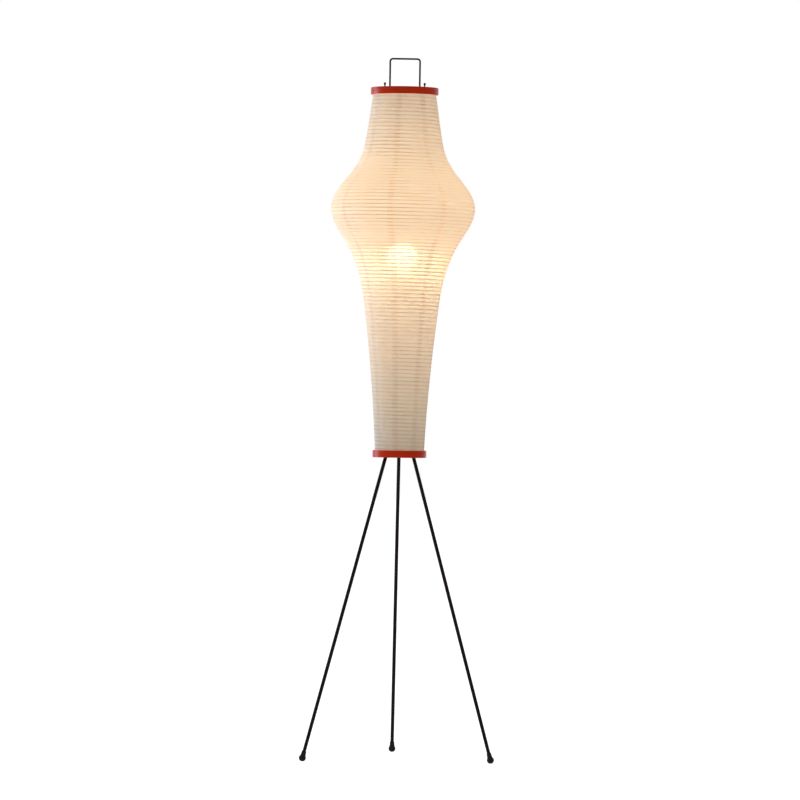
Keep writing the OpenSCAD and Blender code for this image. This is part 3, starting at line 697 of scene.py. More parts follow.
def add_outline_point(tree, curve, length, depth, angle):
    """Adds the nodes that give a point under the outline at a length along it, turned round the axis."""
    sample = add(tree, "GeometryNodeSampleCurve", {"Curves": curve, "Length": length}, mode="LENGTH")
    along = add(tree, "ShaderNodeSeparateXYZ", [(sample, "Tangent")])
    down = add(tree, "ShaderNodeMath", [(along, "X"), -1.0], operation="MULTIPLY")
    outward = add(tree, "ShaderNodeCombineXYZ", [(along, "Z"), 0.0, down])
    inset = add(tree, "ShaderNodeMath", [depth, -1.0], operation="MULTIPLY")
    shift = add(tree, "ShaderNodeVectorMath", {0: outward, "Scale": inset}, operation="SCALE")
    flat = add(tree, "ShaderNodeVectorMath", [(sample, "Position"), shift], operation="ADD")
    return (add(tree, "ShaderNodeVectorRotate", {"Vector": flat, "Angle": angle}, rotation_type="Z_AXIS"),
            add(tree, "ShaderNodeVectorRotate", {"Vector": outward, "Angle": angle}, rotation_type="Z_AXIS"))


def gore_tree():
    """One gore: a thin wall whose rows follow the rib's spiral and sink between its turns."""
    tree, given = new_tree("Paper Gore", {
        "Start": "Float", "Angle": "Float", "Columns": "Int", "First Turn": "Float", "Rows": "Int",
        "Rows A Turn": "Int", "Pitch": "Float", "Tuck": "Float", "Draw In": "Float", "Unevenness": "Float",
        "Thickness": "Float", "Material": "Material"})
    curve = add(tree, "GeometryNodeMeshToCurve", [(given, "Geometry")])
    whole = add(tree, "GeometryNodeCurveLength", [curve])
    across = add(tree, "ShaderNodeMath", [(given, "Columns"), 1], operation="ADD")
    up = add(tree, "ShaderNodeMath", [(given, "Rows"), 1], operation="ADD")
    grid, u, v = unit_grid(tree, across, up)
    angle = add(tree, "ShaderNodeMath", [u, (given, "Angle"), (given, "Start")], operation="MULTIPLY_ADD")
    rows = add(tree, "ShaderNodeMath", [v, (given, "Rows")], operation="MULTIPLY")
    turns = add(tree, "ShaderNodeMath", [rows, (given, "Rows A Turn")], operation="DIVIDE")
    turn = add(tree, "ShaderNodeMath", [turns, (given, "First Turn")], operation="ADD")
    # The spiral falls one pitch in a turn to the left
    fall = add(tree, "ShaderNodeMath", [angle, 2 * math.pi], operation="DIVIDE")
    climb = add(tree, "ShaderNodeMath", [turn, fall], operation="SUBTRACT")
    free = add(tree, "ShaderNodeMath", [climb, (given, "Pitch"), (given, "Tuck")], operation="MULTIPLY_ADD")
    length = add(tree, "ShaderNodeClamp", {"Value": free, "Min": 0.0, "Max": whole})
    # Flat in the tucks, and from rib to rib a hollow that is deepest halfway
    above = add(tree, "ShaderNodeMath", [length, (given, "Tuck")], operation="SUBTRACT")
    left = add(tree, "ShaderNodeMath", [whole, length], operation="SUBTRACT")
    below = add(tree, "ShaderNodeMath", [left, (given, "Tuck")], operation="SUBTRACT")
    room = add(tree, "ShaderNodeMath", [above, below], operation="MINIMUM")
    open_share = add(tree, "ShaderNodeMapRange", [room, 0.0, 0.004, 0.0, 1.0])
    half_turns = add(tree, "ShaderNodeMath", [turn, math.pi], operation="MULTIPLY")
    wave = add(tree, "ShaderNodeMath", [half_turns], operation="SINE")
    hollow = add(tree, "ShaderNodeMath", [wave], operation="ABSOLUTE")
    drawn = add(tree, "ShaderNodeMath", [hollow, (given, "Draw In")], operation="MULTIPLY")
    rough_place = add(tree, "ShaderNodeCombineXYZ", [
        add(tree, "ShaderNodeMath", [angle, 6.0], operation="MULTIPLY"), 0.0,
        add(tree, "ShaderNodeMath", [length, 45.0], operation="MULTIPLY")])
    uneven = add(tree, "ShaderNodeTexNoise", {"Vector": rough_place, "Scale": 1.0, "Detail": 3.0})
    dents = add(tree, "ShaderNodeMath", [uneven, (given, "Unevenness")], operation="MULTIPLY")
    sunk = add(tree, "ShaderNodeMath", [drawn, dents], operation="ADD")
    depth = add(tree, "ShaderNodeMath", [sunk, open_share], operation="MULTIPLY")
    point, outward = add_outline_point(tree, curve, length, depth, angle)
    # Width to the nearer seam and to the nearer turn of the rib, for the finish
    edge = add(tree, "ShaderNodeMath", [u, 0.5], operation="SUBTRACT")
    share = add(tree, "ShaderNodeMath", [edge], operation="ABSOLUTE")
    inner_share = add(tree, "ShaderNodeMath", [0.5, share], operation="SUBTRACT")
    around = add(tree, "ShaderNodeMath", [inner_share, (given, "Angle")], operation="MULTIPLY")
    here = add(tree, "ShaderNodeSeparateXYZ", [point])
    level_part = add(tree, "ShaderNodeCombineXYZ", [(here, "X"), (here, "Y")])
    radius = add(tree, "ShaderNodeVectorMath", [level_part], operation="LENGTH")
    seam = add(tree, "ShaderNodeMath", [around, (radius, "Value")], operation="MULTIPLY")
    from_rib = add(tree, "ShaderNodeMath", [turn, 0.5], operation="PINGPONG")
    rib = add(tree, "ShaderNodeMath", [from_rib, (given, "Pitch")], operation="MULTIPLY")
    # The fields read the flat grid, so they are stored before the points move
    marked = (grid, "Mesh")
    marks = (("seam", seam, "FLOAT"), ("rib", rib, "FLOAT"), ("out", outward, "FLOAT_VECTOR"))
    for label, value, kind in marks:
        marked = add(tree, "GeometryNodeStoreNamedAttribute",
                     {"Geometry": marked, "Name": label, "Value": value}, data_type=kind)
    sheet = add(tree, "GeometryNodeSetPosition", {"Geometry": marked, "Position": point})
    out = add(tree, "GeometryNodeInputNamedAttribute", {"Name": "out"}, data_type="FLOAT_VECTOR")
    inward = add(tree, "ShaderNodeMath", [(given, "Thickness"), -1.0], operation="MULTIPLY")
    wall = add(tree, "GeometryNodeExtrudeMesh",
               {"Mesh": sheet, "Offset": (out, 0), "Offset Scale": inward, "Individual": False}, mode="FACES")
    turned_wall = add(tree, "GeometryNodeFlipFaces", [(wall, "Mesh")])
    both = add(tree, "GeometryNodeJoinGeometry", [sheet])
    tree.links.new(turned_wall.outputs[0], both.inputs[0])
    closed = add(tree, "GeometryNodeMergeByDistance", {"Geometry": both, "Distance": 0.00001})
    plain = add(tree, "GeometryNodeRemoveAttribute", {"Geometry": closed, "Name": "out"})
    return ended(tree, given, plain)


def rib_tree():
    """The rib: a flat strip wound in one spiral behind the paper."""
    tree, given = new_tree("Spiral Rib", {
        "Start": "Float", "Turns": "Float", "Steps": "Int", "Points": "Int", "Pitch": "Float",
        "Depth": "Float", "Width": "Float", "Thickness": "Float", "Material": "Material"})
    curve = add(tree, "GeometryNodeMeshToCurve", [(given, "Geometry")])
    line = add(tree, "GeometryNodeMeshLine", {"Count": (given, "Points")})
    index = add(tree, "GeometryNodeInputIndex")
    turn = add(tree, "ShaderNodeMath", [index, (given, "Steps")], operation="DIVIDE")
    angle = add(tree, "ShaderNodeMath", [turn, -2 * math.pi], operation="MULTIPLY")
    length = add(tree, "ShaderNodeMath", [turn, (given, "Pitch"), (given, "Start")], operation="MULTIPLY_ADD")
    point, outward = add_outline_point(tree, curve, length, (given, "Depth"), angle)
    marked = add(tree, "GeometryNodeStoreNamedAttribute",
                 {"Geometry": line, "Name": "out", "Value": outward}, data_type="FLOAT_VECTOR")
    wound = add(tree, "GeometryNodeSetPosition", {"Geometry": marked, "Position": point})
    path = add(tree, "GeometryNodeMeshToCurve", [wound])
    out = add(tree, "GeometryNodeInputNamedAttribute", {"Name": "out"}, data_type="FLOAT_VECTOR")
    facing = add(tree, "GeometryNodeSetCurveNormal", {"Curve": path, "Normal": (out, 0)}, mode="FREE")
    section = add(tree, "GeometryNodeCurvePrimitiveQuadrilateral",
                  {"Width": (given, "Thickness"), "Height": (given, "Width")})
    strip = add(tree, "GeometryNodeCurveToMesh",
                {"Curve": facing, "Profile Curve": section, "Fill Caps": True})
    plain = add(tree, "GeometryNodeRemoveAttribute", {"Geometry": strip, "Name": "out"})
    return ended(tree, given, plain)


def fold_with_hoop(piece):
    """Gives the paper or the rib a mesh of its own."""
    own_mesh(piece)


class LANTERN_OT_paper(bpy.types.Operator):
    """Make the eight gores of the paper shade"""
    bl_idname = "lantern.paper"
    bl_label = "Paper Gores"

    def execute(self, context):
        s = context.scene.lantern_shade
        points, length = shade_outline()
        gaps = round(length / s.rib_pitch)
        pitch = length / gaps
        paper = finish_of(pasted_washi)
        tree = gore_tree()
        angle = 2 * math.pi / s.gores
        rows_a_turn = 4
        for i in range(s.gores):
            start = s.first_seam + i * angle
            first = math.floor((start / (2 * math.pi) - s.tuck / pitch) * rows_a_turn) / rows_a_turn
            last = (start + angle) / (2 * math.pi) + (length + s.tuck) / pitch
            rows = math.ceil((last - first) * rows_a_turn)
            mesh = grown(tree, outline_mesh(points), start=start, angle=angle, columns=24,
                         first_turn=first, rows=rows, rows_a_turn=rows_a_turn, pitch=pitch, tuck=s.tuck,
                         draw_in=s.draw_in, unevenness=0.0007, thickness=s.thickness, material=paper)
            name = f"paper_gore_{i + 1}"
            gore = piece_from(f"washi_gore_{i + 1}", mesh, paper, "frame", [name], sharp=60)
            fold_with_hoop(gore)
        return {"FINISHED"}


class LANTERN_OT_rib(bpy.types.Operator):
    """Wind the bamboo rib inside the paper"""
    bl_idname = "lantern.rib"
    bl_label = "Spiral Rib"

    def execute(self, context):
        s = context.scene.lantern_shade
        points, length = shade_outline()
        gaps = round(length / s.rib_pitch)
        pitch, steps = length / gaps, 72
        bamboo = finish_of(split_bamboo)
        mesh = grown(rib_tree(), outline_mesh(points), start=s.tuck + pitch, turns=float(gaps - 2),
                     steps=steps, points=(gaps - 2) * steps + 1, pitch=pitch,
                     depth=s.thickness + 0.0003 + s.rib_thickness / 2, width=s.rib_width,
                     thickness=s.rib_thickness, material=bamboo)
        rib = piece_from("spiral_rib", mesh, bamboo, "frame", ["shade_ribs"])
        fold_with_hoop(rib)
        return {"FINISHED"}


# ---- Hoops and wires ----

def hoop_mesh(node):
    """A hoop bent from a flat strip: a slightly crowned outside, soft edges and a flat inside."""
    low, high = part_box(node)
    r, wall = high.x, HOOP_WALL
    z0, z1, crown = low.z, high.z, 0.00025
    middle = (z0 + z1) / 2
    corners = [(r - wall, z0, 0.0009), (r - crown, z0, 0.0012), (r, middle, 0.006), (r - crown, z1, 0.0012),
               (r - wall, z1, 0.0009)]
    return turned(rounded(corners, 0.001, steps=5), segments=192)


def wire_between(node, radius):
    """Straight wires of a CAD pair that run from front to back."""
    low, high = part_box(node)
    x, z = high.x - radius, (low.z + high.z) / 2
    return joined([bent_wire([(side * x, low.y, z), (side * x, high.y, z)], radius) for side in (-1, 1)])


class LANTERN_OT_hoops(bpy.types.Operator):
    """Make the two lacquered hoops and the cross wires in them"""
    bl_idname = "lantern.hoops"
    bl_label = "Hoops"

    def execute(self, context):
        lacquer = finish_of(red_lacquer_on_bent_wood)
        zinc = finish_of(zinc_plated_steel)
        for side, body in (("lower", "lower_hoop"), ("upper", "frame")):
            piece_from(f"{side}_hoop", hoop_mesh(f"{side}_ring"), lacquer, body,
                       [f"{side}_ring"])
            piece_from(f"{side}_hoop_wires", wire_between(f"{side}_cross_wires", 0.0012), zinc, body,
                       [f"{side}_cross_wires"])
        return {"FINISHED"}


def arc(centre, radius, first, last, steps, y=0.0):
    """Points on an arc in an upright plane, from one angle in degrees to another."""
    made = []
    for i in range(steps + 1):
        a = math.radians(first + (last - first) * i / steps)
        made.append((centre[0] + radius * math.cos(a), y, centre[1] + radius * math.sin(a)))
    return made


class LANTERN_OT_wires(bpy.types.Operator):
    """Bend the frame wire and the hooks that hold the upper hoop"""
    bl_idname = "lantern.wires"
    bl_label = "Wire Frame and Hooks"

    def execute(self, context):
        enamel = finish_of(enamelled_steel)
        low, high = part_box("frame_wire")
        r, bend = 0.002, 0.006
        x, top = high.x - r, high.z - r
        path = ([(-x, 0, low.z)] + arc((-x + bend, top - bend), bend, 180, 90, 10)
                + arc((x - bend, top - bend), bend, 90, 0, 10) + [(x, 0, low.z)])
        piece_from("frame_wire_bow", bent_wire(path, r), enamel, "frame", ["frame_wire"])
        low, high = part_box("ring_hooks")
        r, bend = 0.0015, 0.006
        x, y, base = high.x - r, (low.y + high.y) / 2, low.z + r
        # The ends are peened to knobs 5 mm across, so that the cross wire can't slip out
        knob = [(0.0, 0.0020), (0.0012, 0.0025), (0.0036, 0.0025), (0.0050, 0.0021), (0.0060, r)]
        path = ([(-x, y, high.z - fall) for fall, _ in knob]
                + arc((-x + bend, base + bend), bend, 180, 270, 10, y)
                + arc((x - bend, base + bend), bend, 270, 360, 10, y)
                + [(x, y, high.z - fall) for fall, _ in reversed(knob)])
        ends = [wide for _, wide in knob]
        radii = ends + [r] * (len(path) - 2 * len(ends)) + list(reversed(ends))
        piece_from("hook_wire", bent_wire(path, radii, 20), enamel, "frame", ["ring_hooks"])
        return {"FINISHED"}


# ---- Hub ----

class LANTERN_OT_hub(bpy.types.Operator):
    """Finish the hub, its grommet and nuts, and the bridge under the lampholder"""
    bl_idname = "lantern.hub"
    bl_label = "Hub and Bridge"

    def execute(self, context):
        enamel = finish_of(enamelled_steel)
        zinc = finish_of(zinc_plated_steel)
        rubber = finish_of(moulded_rubber)
        for name, node, bevel, finish, slot in (
                ("hub_plate", "leg_hub", 0.0004, enamel, "black_steel"),
                ("bridge_strap", "holder_bridge", 0.0003, enamel, "black_steel"),
                ("hub_nuts", "frame_nuts", 0.0003, zinc, "zinc_steel"),
                ("bridge_set_screws", "bridge_grub_screws", 0.0002, zinc, "zinc_steel"),
                ("nipple_lock_nut", "nipple_nut", 0.0004, zinc, "zinc_steel")):
            piece_from(name, refined(node, bevel), finish, "frame", [node])
        low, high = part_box("cord_grommet")
        flange, waist, bore = high.x, 0.00595, 0.0035
        plate_low, plate_top = low.z + 0.0015, high.z - 0.0015
        corners = [(bore, low.z, 0.0007), (flange, low.z, 0.0007), (flange, plate_low, 0.0004),
                   (waist, plate_low, 0), (waist, plate_top, 0), (flange, plate_top, 0.0004),
                   (flange, high.z, 0.0007), (bore, high.z, 0.0007)]
        piece_from("cord_bush", turned(rounded(corners, 0.0005), 64), rubber, "frame",
                   ["cord_grommet"])
        return {"FINISHED"}


# ---- Threads ----

def thread_tree():
    """A screw thread: rows that climb one pitch a turn between two heights, closed by a bore or by discs."""
    tree, given = new_tree("Screw Thread", {
        "Radius": "Float", "Depth": "Float", "Bore": "Float", "Bore Depth": "Float", "Pitch": "Float",
        "Low": "Float", "High": "Float", "Rows": "Int", "Rows A Turn": "Int", "Columns": "Int",
        "Material": "Material"})
    across = add(tree, "ShaderNodeMath", [(given, "Columns"), 1], operation="ADD")
    up = add(tree, "ShaderNodeMath", [(given, "Rows"), 1], operation="ADD")
    height = add(tree, "ShaderNodeMath", [(given, "High"), (given, "Low")], operation="SUBTRACT")

    def wrapped(grid, u, r, level):
        """The grid bent round the axis, with its corners at a radius and a height."""
        angle = add(tree, "ShaderNodeMath", [u, 2 * math.pi], operation="MULTIPLY")
        flat = add(tree, "ShaderNodeCombineXYZ", [r, 0.0, level])
        place = add(tree, "ShaderNodeVectorRotate", {"Vector": flat, "Angle": angle}, rotation_type="Z_AXIS")
        return add(tree, "GeometryNodeSetPosition", {"Geometry": (grid, "Mesh"), "Position": place})

    sheets = []
    for radius, depth in (("Radius", "Depth"), ("Bore", "Bore Depth")):
        grid, u, v = unit_grid(tree, across, up)
        rows = add(tree, "ShaderNodeMath", [v, (given, "Rows")], operation="MULTIPLY")
        turns = add(tree, "ShaderNodeMath", [rows, (given, "Rows A Turn")], operation="DIVIDE")
        climb = add(tree, "ShaderNodeMath", [turns, u], operation="ADD")
        lowered = add(tree, "ShaderNodeMath", [climb, -1.0], operation="ADD")
        free = add(tree, "ShaderNodeMath", [lowered, (given, "Pitch")], operation="MULTIPLY")
        z = add(tree, "ShaderNodeClamp", {"Value": free, "Min": 0.0, "Max": height})
        # Full depth half a pitch from each end, so that the thread runs out there
        left = add(tree, "ShaderNodeMath", [height, z], operation="SUBTRACT")
        near = add(tree, "ShaderNodeMath", [z, left], operation="MINIMUM")
        half = add(tree, "ShaderNodeMath", [(given, "Pitch"), 0.5], operation="MULTIPLY")
        crest = add(tree, "ShaderNodeMapRange", {"Value": near, "From Min": 0.0, "From Max": half,
                                                 "To Min": 0.0, "To Max": 1.0})
        half_turns = add(tree, "ShaderNodeMath", [turns, math.pi], operation="MULTIPLY")
        wave = add(tree, "ShaderNodeMath", [half_turns], operation="SINE")
        ridge = add(tree, "ShaderNodeMath", [wave, wave], operation="MULTIPLY")
        share = add(tree, "ShaderNodeMath", [ridge, crest], operation="MULTIPLY")
        sunk = add(tree, "ShaderNodeMath", [1.0, share], operation="SUBTRACT")
        drop = add(tree, "ShaderNodeMath", [sunk, (given, depth)], operation="MULTIPLY")
        r = add(tree, "ShaderNodeMath", [(given, radius), drop], operation="SUBTRACT")
        level = add(tree, "ShaderNodeMath", [z, (given, "Low")], operation="ADD")
        sheets.append(wrapped(grid, u, r, level))
    # Rings close the two ends
    outer_end = add(tree, "ShaderNodeMath", [(given, "Radius"), (given, "Depth")], operation="SUBTRACT")
    inner_end = add(tree, "ShaderNodeMath", [(given, "Bore"), (given, "Bore Depth")], operation="SUBTRACT")
    for end in ("Low", "High"):
        grid, u, v = unit_grid(tree, across, 2)
        ends = (outer_end, inner_end) if end == "High" else (inner_end, outer_end)
        r = add(tree, "ShaderNodeMapRange", [v, 0.0, 1.0, *ends])
        sheets.append(wrapped(grid, u, r, (given, end)))
    inside = add(tree, "GeometryNodeFlipFaces", [sheets[1]])
    hollow = add(tree, "ShaderNodeMath", [(given, "Bore"), 0.00001], operation="GREATER_THAN")
    bored = add(tree, "GeometryNodeSwitch", {"Switch": hollow, "True": inside}, input_type="GEOMETRY")
    whole = add(tree, "GeometryNodeJoinGeometry", [sheets[0]])
    for part in (bored, sheets[2], sheets[3]):
        tree.links.new(part.outputs[0], whole.inputs[0])
    closed = add(tree, "GeometryNodeMergeByDistance", {"Geometry": whole, "Distance": 0.000002})
    return ended(tree, given, closed)


def threaded(material, radius, depth, low, high, pitch, bore=0.0, bore_depth=0.0, columns=32, rows_a_turn=6):
    """A threaded rod or sleeve between two heights on the Z axis."""
    tree = bpy.data.node_groups.get("Screw Thread") or thread_tree()
    rows = math.ceil(((high - low) / pitch + 1) * rows_a_turn)
    return grown(tree, bpy.data.meshes.new("seed"), radius=radius, depth=depth, bore=bore,
                 bore_depth=bore_depth, pitch=pitch, low=low, high=high, rows=rows,
                 rows_a_turn=rows_a_turn, columns=columns, material=material)


# ---- Legs ----

def leg_matrix(name):
    """Puts a leg's own frame in place: zero at its sleeve's mouth, and Z down its axis."""
    joint = JOINTS[f"{name}_leg_turn"]
    turn = Vector((0, 0, 1)).rotation_difference(Vector(joint["axis"]).normalized())
    return Matrix.Translation(Vector(joint["pos_m"])) @ turn.to_matrix().to_4x4()


def leg_length(name):
    """From a sleeve's mouth to the middle of the foot's ball."""
    joint = JOINTS[f"{name}_leg_turn"]
    ball_z = 0.0076
    return (joint["pos_m"][2] - ball_z) / -joint["axis"][2]


class LANTERN_OT_legs(bpy.types.Operator):
    """Make the three legs, their studs and their feet"""
    bl_idname = "lantern.legs"
    bl_label = "Legs and Feet"

    def execute(self, context):
        enamel = finish_of(enamelled_steel)
        zinc = finish_of(zinc_plated_steel)
        rubber = finish_of(moulded_rubber)
        for name in ("back", "left", "right"):
            matrix, length = leg_matrix(name), leg_length(name)
            end = length - 0.001
            rod = rounded([(0, 0.0125), (0.00305, 0.0125, 0), (0.00305, 0.0001, 0.0002),
                           (0.004, 0.0001, 0.0004), (0.004, end, 0.0005), (0, end)], 0.0004)
            piece_from(f"leg_rod_{name}", turned(rod, 48, matrix), enamel, f"{name}_leg",
                       [f"leg_{name}"])
            stud = threaded(zinc, 0.003, 0.00045, -0.016, 0.012, 0.001)
            stud.transform(matrix)
            piece_from(f"stud_{name}", stud, zinc, f"{name}_stud", [f"leg_stud_{name}"],
                       sharp=60)
            piece_from(f"foot_ball_{name}", self.foot(matrix, length), rubber, f"{name}_leg",
                       [f"foot_{name}"])
        return {"FINISHED"}

    def foot(self, matrix, length):
        """A ball with a tapered neck, a moulding line round it, two grip rings and a flat underneath."""
        ball, neck = 0.008, 0.0052
        low = length - 0.016
        outline = [(0.00405, low + 0.0002), (0.0043, low), (neck - 0.0003, low), (neck, low + 0.0003)]
        for ring in (0.0022, 0.0044):
            outline += [(neck + 0.0001, low + ring - 0.0006), (neck - 0.00025, low + ring),
                        (neck + 0.0002, low + ring + 0.0006)]
        start = -math.radians(42)
        steps = 22
        for i in range(steps + 1):
            a = start + (math.pi / 2 - start) * i / steps
            ridge = 0.00015 * math.exp(-((a / math.radians(3)) ** 2))
            outline.append(((ball + ridge) * math.cos(a) if i < steps else 0.0, length + ball * math.sin(a)))
        outline += [(0, length - 0.0009), (0.00405, length - 0.0009)]
        mesh = turned(outline, 48, matrix)
        shape = bmesh.new()
        shape.from_mesh(mesh)
        bmesh.ops.recalc_face_normals(shape, faces=shape.faces)
        cut = bmesh.ops.bisect_plane(shape, geom=shape.verts[:] + shape.edges[:] + shape.faces[:],
                                     plane_co=(0, 0, 0), plane_no=(0, 0, -1), clear_outer=True)
        rim = [e for e in cut["geom_cut"] if isinstance(e, bmesh.types.BMEdge)]
        bmesh.ops.holes_fill(shape, edges=rim)
        bmesh.ops.recalc_face_normals(shape, faces=shape.faces)
        shape.to_mesh(mesh)
        shape.free()
        return mesh


# ---- Lampholder ----

def grip_tree():
    """Upright grip ribs round a sleeve: half-round bars set on a ring of points."""
    tree, given = new_tree("Grip Ribs", {
        "Count": "Int", "Radius": "Float", "Bar Radius": "Float", "Bar Height": "Float", "Level": "Float",
        "Material": "Material"})
    ring = add(tree, "GeometryNodeMeshCircle", {"Vertices": (given, "Count"), "Radius": (given, "Radius")})
    bar = add(tree, "GeometryNodeMeshCone", {
        "Vertices": 8, "Side Segments": 1, "Radius Top": (given, "Bar Radius"),
        "Radius Bottom": (given, "Bar Radius"), "Depth": (given, "Bar Height")})
    set_out = add(tree, "GeometryNodeInstanceOnPoints", {"Points": ring, "Instance": bar})
    lift = add(tree, "ShaderNodeCombineXYZ", {2: (given, "Level")})
    placed = add(tree, "GeometryNodeTransform", {"Geometry": set_out, "Translation": lift})
    return ended(tree, given, placed)


class LANTERN_OT_lampholder(bpy.types.Operator):
    """Make the lampholder's shells, porcelain, contacts and screws, and the nipple that carries it"""
    bl_idname = "lantern.lampholder"
    bl_label = "Lampholder"

    def execute(self, context):
        phenolic = finish_of(phenolic_resin)
        porcelain = finish_of(glazed_porcelain)
        brass = finish_of(pressed_brass)
        zinc = finish_of(zinc_plated_steel)
        low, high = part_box("lampholder_cap")
        r, foot, wall, z = high.x, 0.014, 0.002, low.z
        shoulder, ledge, seat = z + 0.010, r - 0.004, z + 0.014
        corners = [(0.00505, z, 0.0002), (foot, z, 0.0012), (r, shoulder, 0.004), (r, high.z, 0.0004),
                   (r - wall, high.z, 0.0002), (r - wall, seat, 0), (ledge, seat, 0.0003),
                   (ledge, shoulder, 0.001), (foot - wall, z + wall, 0.001), (0.00505, z + wall, 0.0002)]
        piece_from("holder_lower_shell", turned(rounded(corners, 0.0005), 72), phenolic, "frame",
                   ["lampholder_cap"])
        low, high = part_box("lampholder_skirt")
        r = high.x
        corners = [(r - 0.002, low.z, 0.0002), (r, low.z, 0.0005), (r, low.z + 0.0022, 0.0005),
                   (r - 0.0006, low.z + 0.003, 0.0004), (r - 0.0006, high.z - 0.0042, 0.0004),
                   (r, high.z - 0.0034, 0.0005), (r, high.z, 0.0009), (r - 0.002, high.z, 0.0006)]
        skirt = turned(rounded(corners, 0.0004), 72)
        bars = grown(grip_tree(), bpy.data.meshes.new("seed"), count=48, radius=r - 0.00075,
                     bar_radius=0.0007, bar_height=0.022, level=low.z + 0.0045, material=phenolic)
        piece_from("holder_skirt", joined([skirt, bars]), phenolic, "frame", ["lampholder_skirt"])
        piece_from("holder_porcelain", refined("lampholder_insert", 0.0004), porcelain, "frame",
                   ["lampholder_insert"])
        low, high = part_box("lampholder_screw_shell")
        shell = threaded(brass, high.x, 0.0, low.z, high.z, 0.00363, bore=high.x - 0.0005, bore_depth=0.0,
                         columns=64, rows_a_turn=8)
        piece_from("holder_screw_shell", shell, brass, "frame", ["lampholder_screw_shell"])
        low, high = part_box("lampholder_contact")
        dome = [(0, low.z), (high.x, low.z, 0.0001), (high.x, high.z - 0.0004, 0.0003),
                (0.0015, high.z, 0.0006), (0, high.z)]
        piece_from("holder_contact", turned(rounded(dome, 0.0003), 40), brass, "frame",
                   ["lampholder_contact"])
        piece_from("holder_terminals", self.terminals(), brass, "frame", ["terminal_screws"])
        low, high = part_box("holder_nipple")
        nipple = threaded(zinc, high.x, 0.0005, low.z, high.z, 0.001, bore=0.0035, bore_depth=0.0, columns=40)
        piece_from("holder_pipe_nipple", nipple, zinc, "frame", ["holder_nipple"], sharp=60)
        return {"FINISHED"}

    def terminals(self):
        """Two terminal screws with domed, slotted heads underneath."""
        low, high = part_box("terminal_screws")
        head_r, r = 0.0027, 0.0015
        head_top, x = low.z + 0.0018, high.x - head_r
        made = []
        for side in (-1, 1):
            corners = [(0, low.z), (head_r, low.z, 0.0007), (head_r, head_top, 0.0002), (r, head_top, 0),
                       (r, high.z, 0.0003), (0, high.z)]
            screw = turned(rounded(corners, 0.0003), 32, Matrix.Translation((side * x, 0, 0)))
            shape = bmesh.new()
            shape.from_mesh(screw)
            for v in shape.verts:
                if abs(v.co.y) < 0.00045 and v.co.z < low.z + 0.0009:
                    v.co.z = low.z + 0.0009
            shape.to_mesh(screw)
            shape.free()
            made.append(screw)
        return joined(made)


# ---- Bulb ----

def coil_tree():
    """A wire wound in a fine coil along the X axis."""
    tree, given = new_tree("Filament Coil", {
        "Length": "Float", "Coil Radius": "Float", "Wire Radius": "Float", "Turns": "Float", "Level": "Float",
        "Material": "Material"})
    spiral = add(tree, "GeometryNodeCurveSpiral", {
        "Resolution": 12, "Rotations": (given, "Turns"), "Start Radius": (given, "Coil Radius"),
        "End Radius": (given, "Coil Radius"), "Height": (given, "Length")})
    section = add(tree, "GeometryNodeCurvePrimitiveCircle",
                  {"Resolution": 6, "Radius": (given, "Wire Radius")}, mode="RADIUS")
    wire = add(tree, "GeometryNodeCurveToMesh",
               {"Curve": spiral, "Profile Curve": section, "Fill Caps": True})
    half = add(tree, "ShaderNodeMath", [(given, "Length"), -0.5], operation="MULTIPLY")
    place = add(tree, "ShaderNodeCombineXYZ", {0: half, 2: (given, "Level")})
    laid = add(tree, "GeometryNodeTransform",
               {"Geometry": wire, "Translation": place, "Rotation": (0, math.pi / 2, 0)})
    return ended(tree, given, laid)


def bulb_outline(inset, neck_low, neck_high, neck_r, globe_z, globe_r, steps=40):
    """(radius, height) points from the neck up to the top: a straight neck, a cone and a round globe."""
    r, n = globe_r - inset, neck_r - inset
    rise = globe_z - neck_high
    reach = math.hypot(n, rise)
    side = math.sqrt(reach ** 2 - r ** 2)
    slope = math.atan2(rise, -n) - math.asin(r / reach)
    touch = (n + side * math.cos(slope), neck_high + side * math.sin(slope))
    start = math.atan2(touch[1] - globe_z, touch[0])
    points = [(n, neck_low), (n, neck_high - 0.002)]
    for i in range(7):
        t = i / 6
        here = Vector((n, neck_high))
        a, b = Vector((n, neck_high - 0.002)), here + (Vector(touch) - here) * 0.25
        points.append(tuple(a * (1 - t) ** 2 + here * 2 * t * (1 - t) + b * t * t))
    for i in range(steps + 1):
        a = start + (math.pi / 2 - start) * i / steps
        points.append((r * math.cos(a) if i < steps else 0.0, globe_z + r * math.sin(a)))
    return points


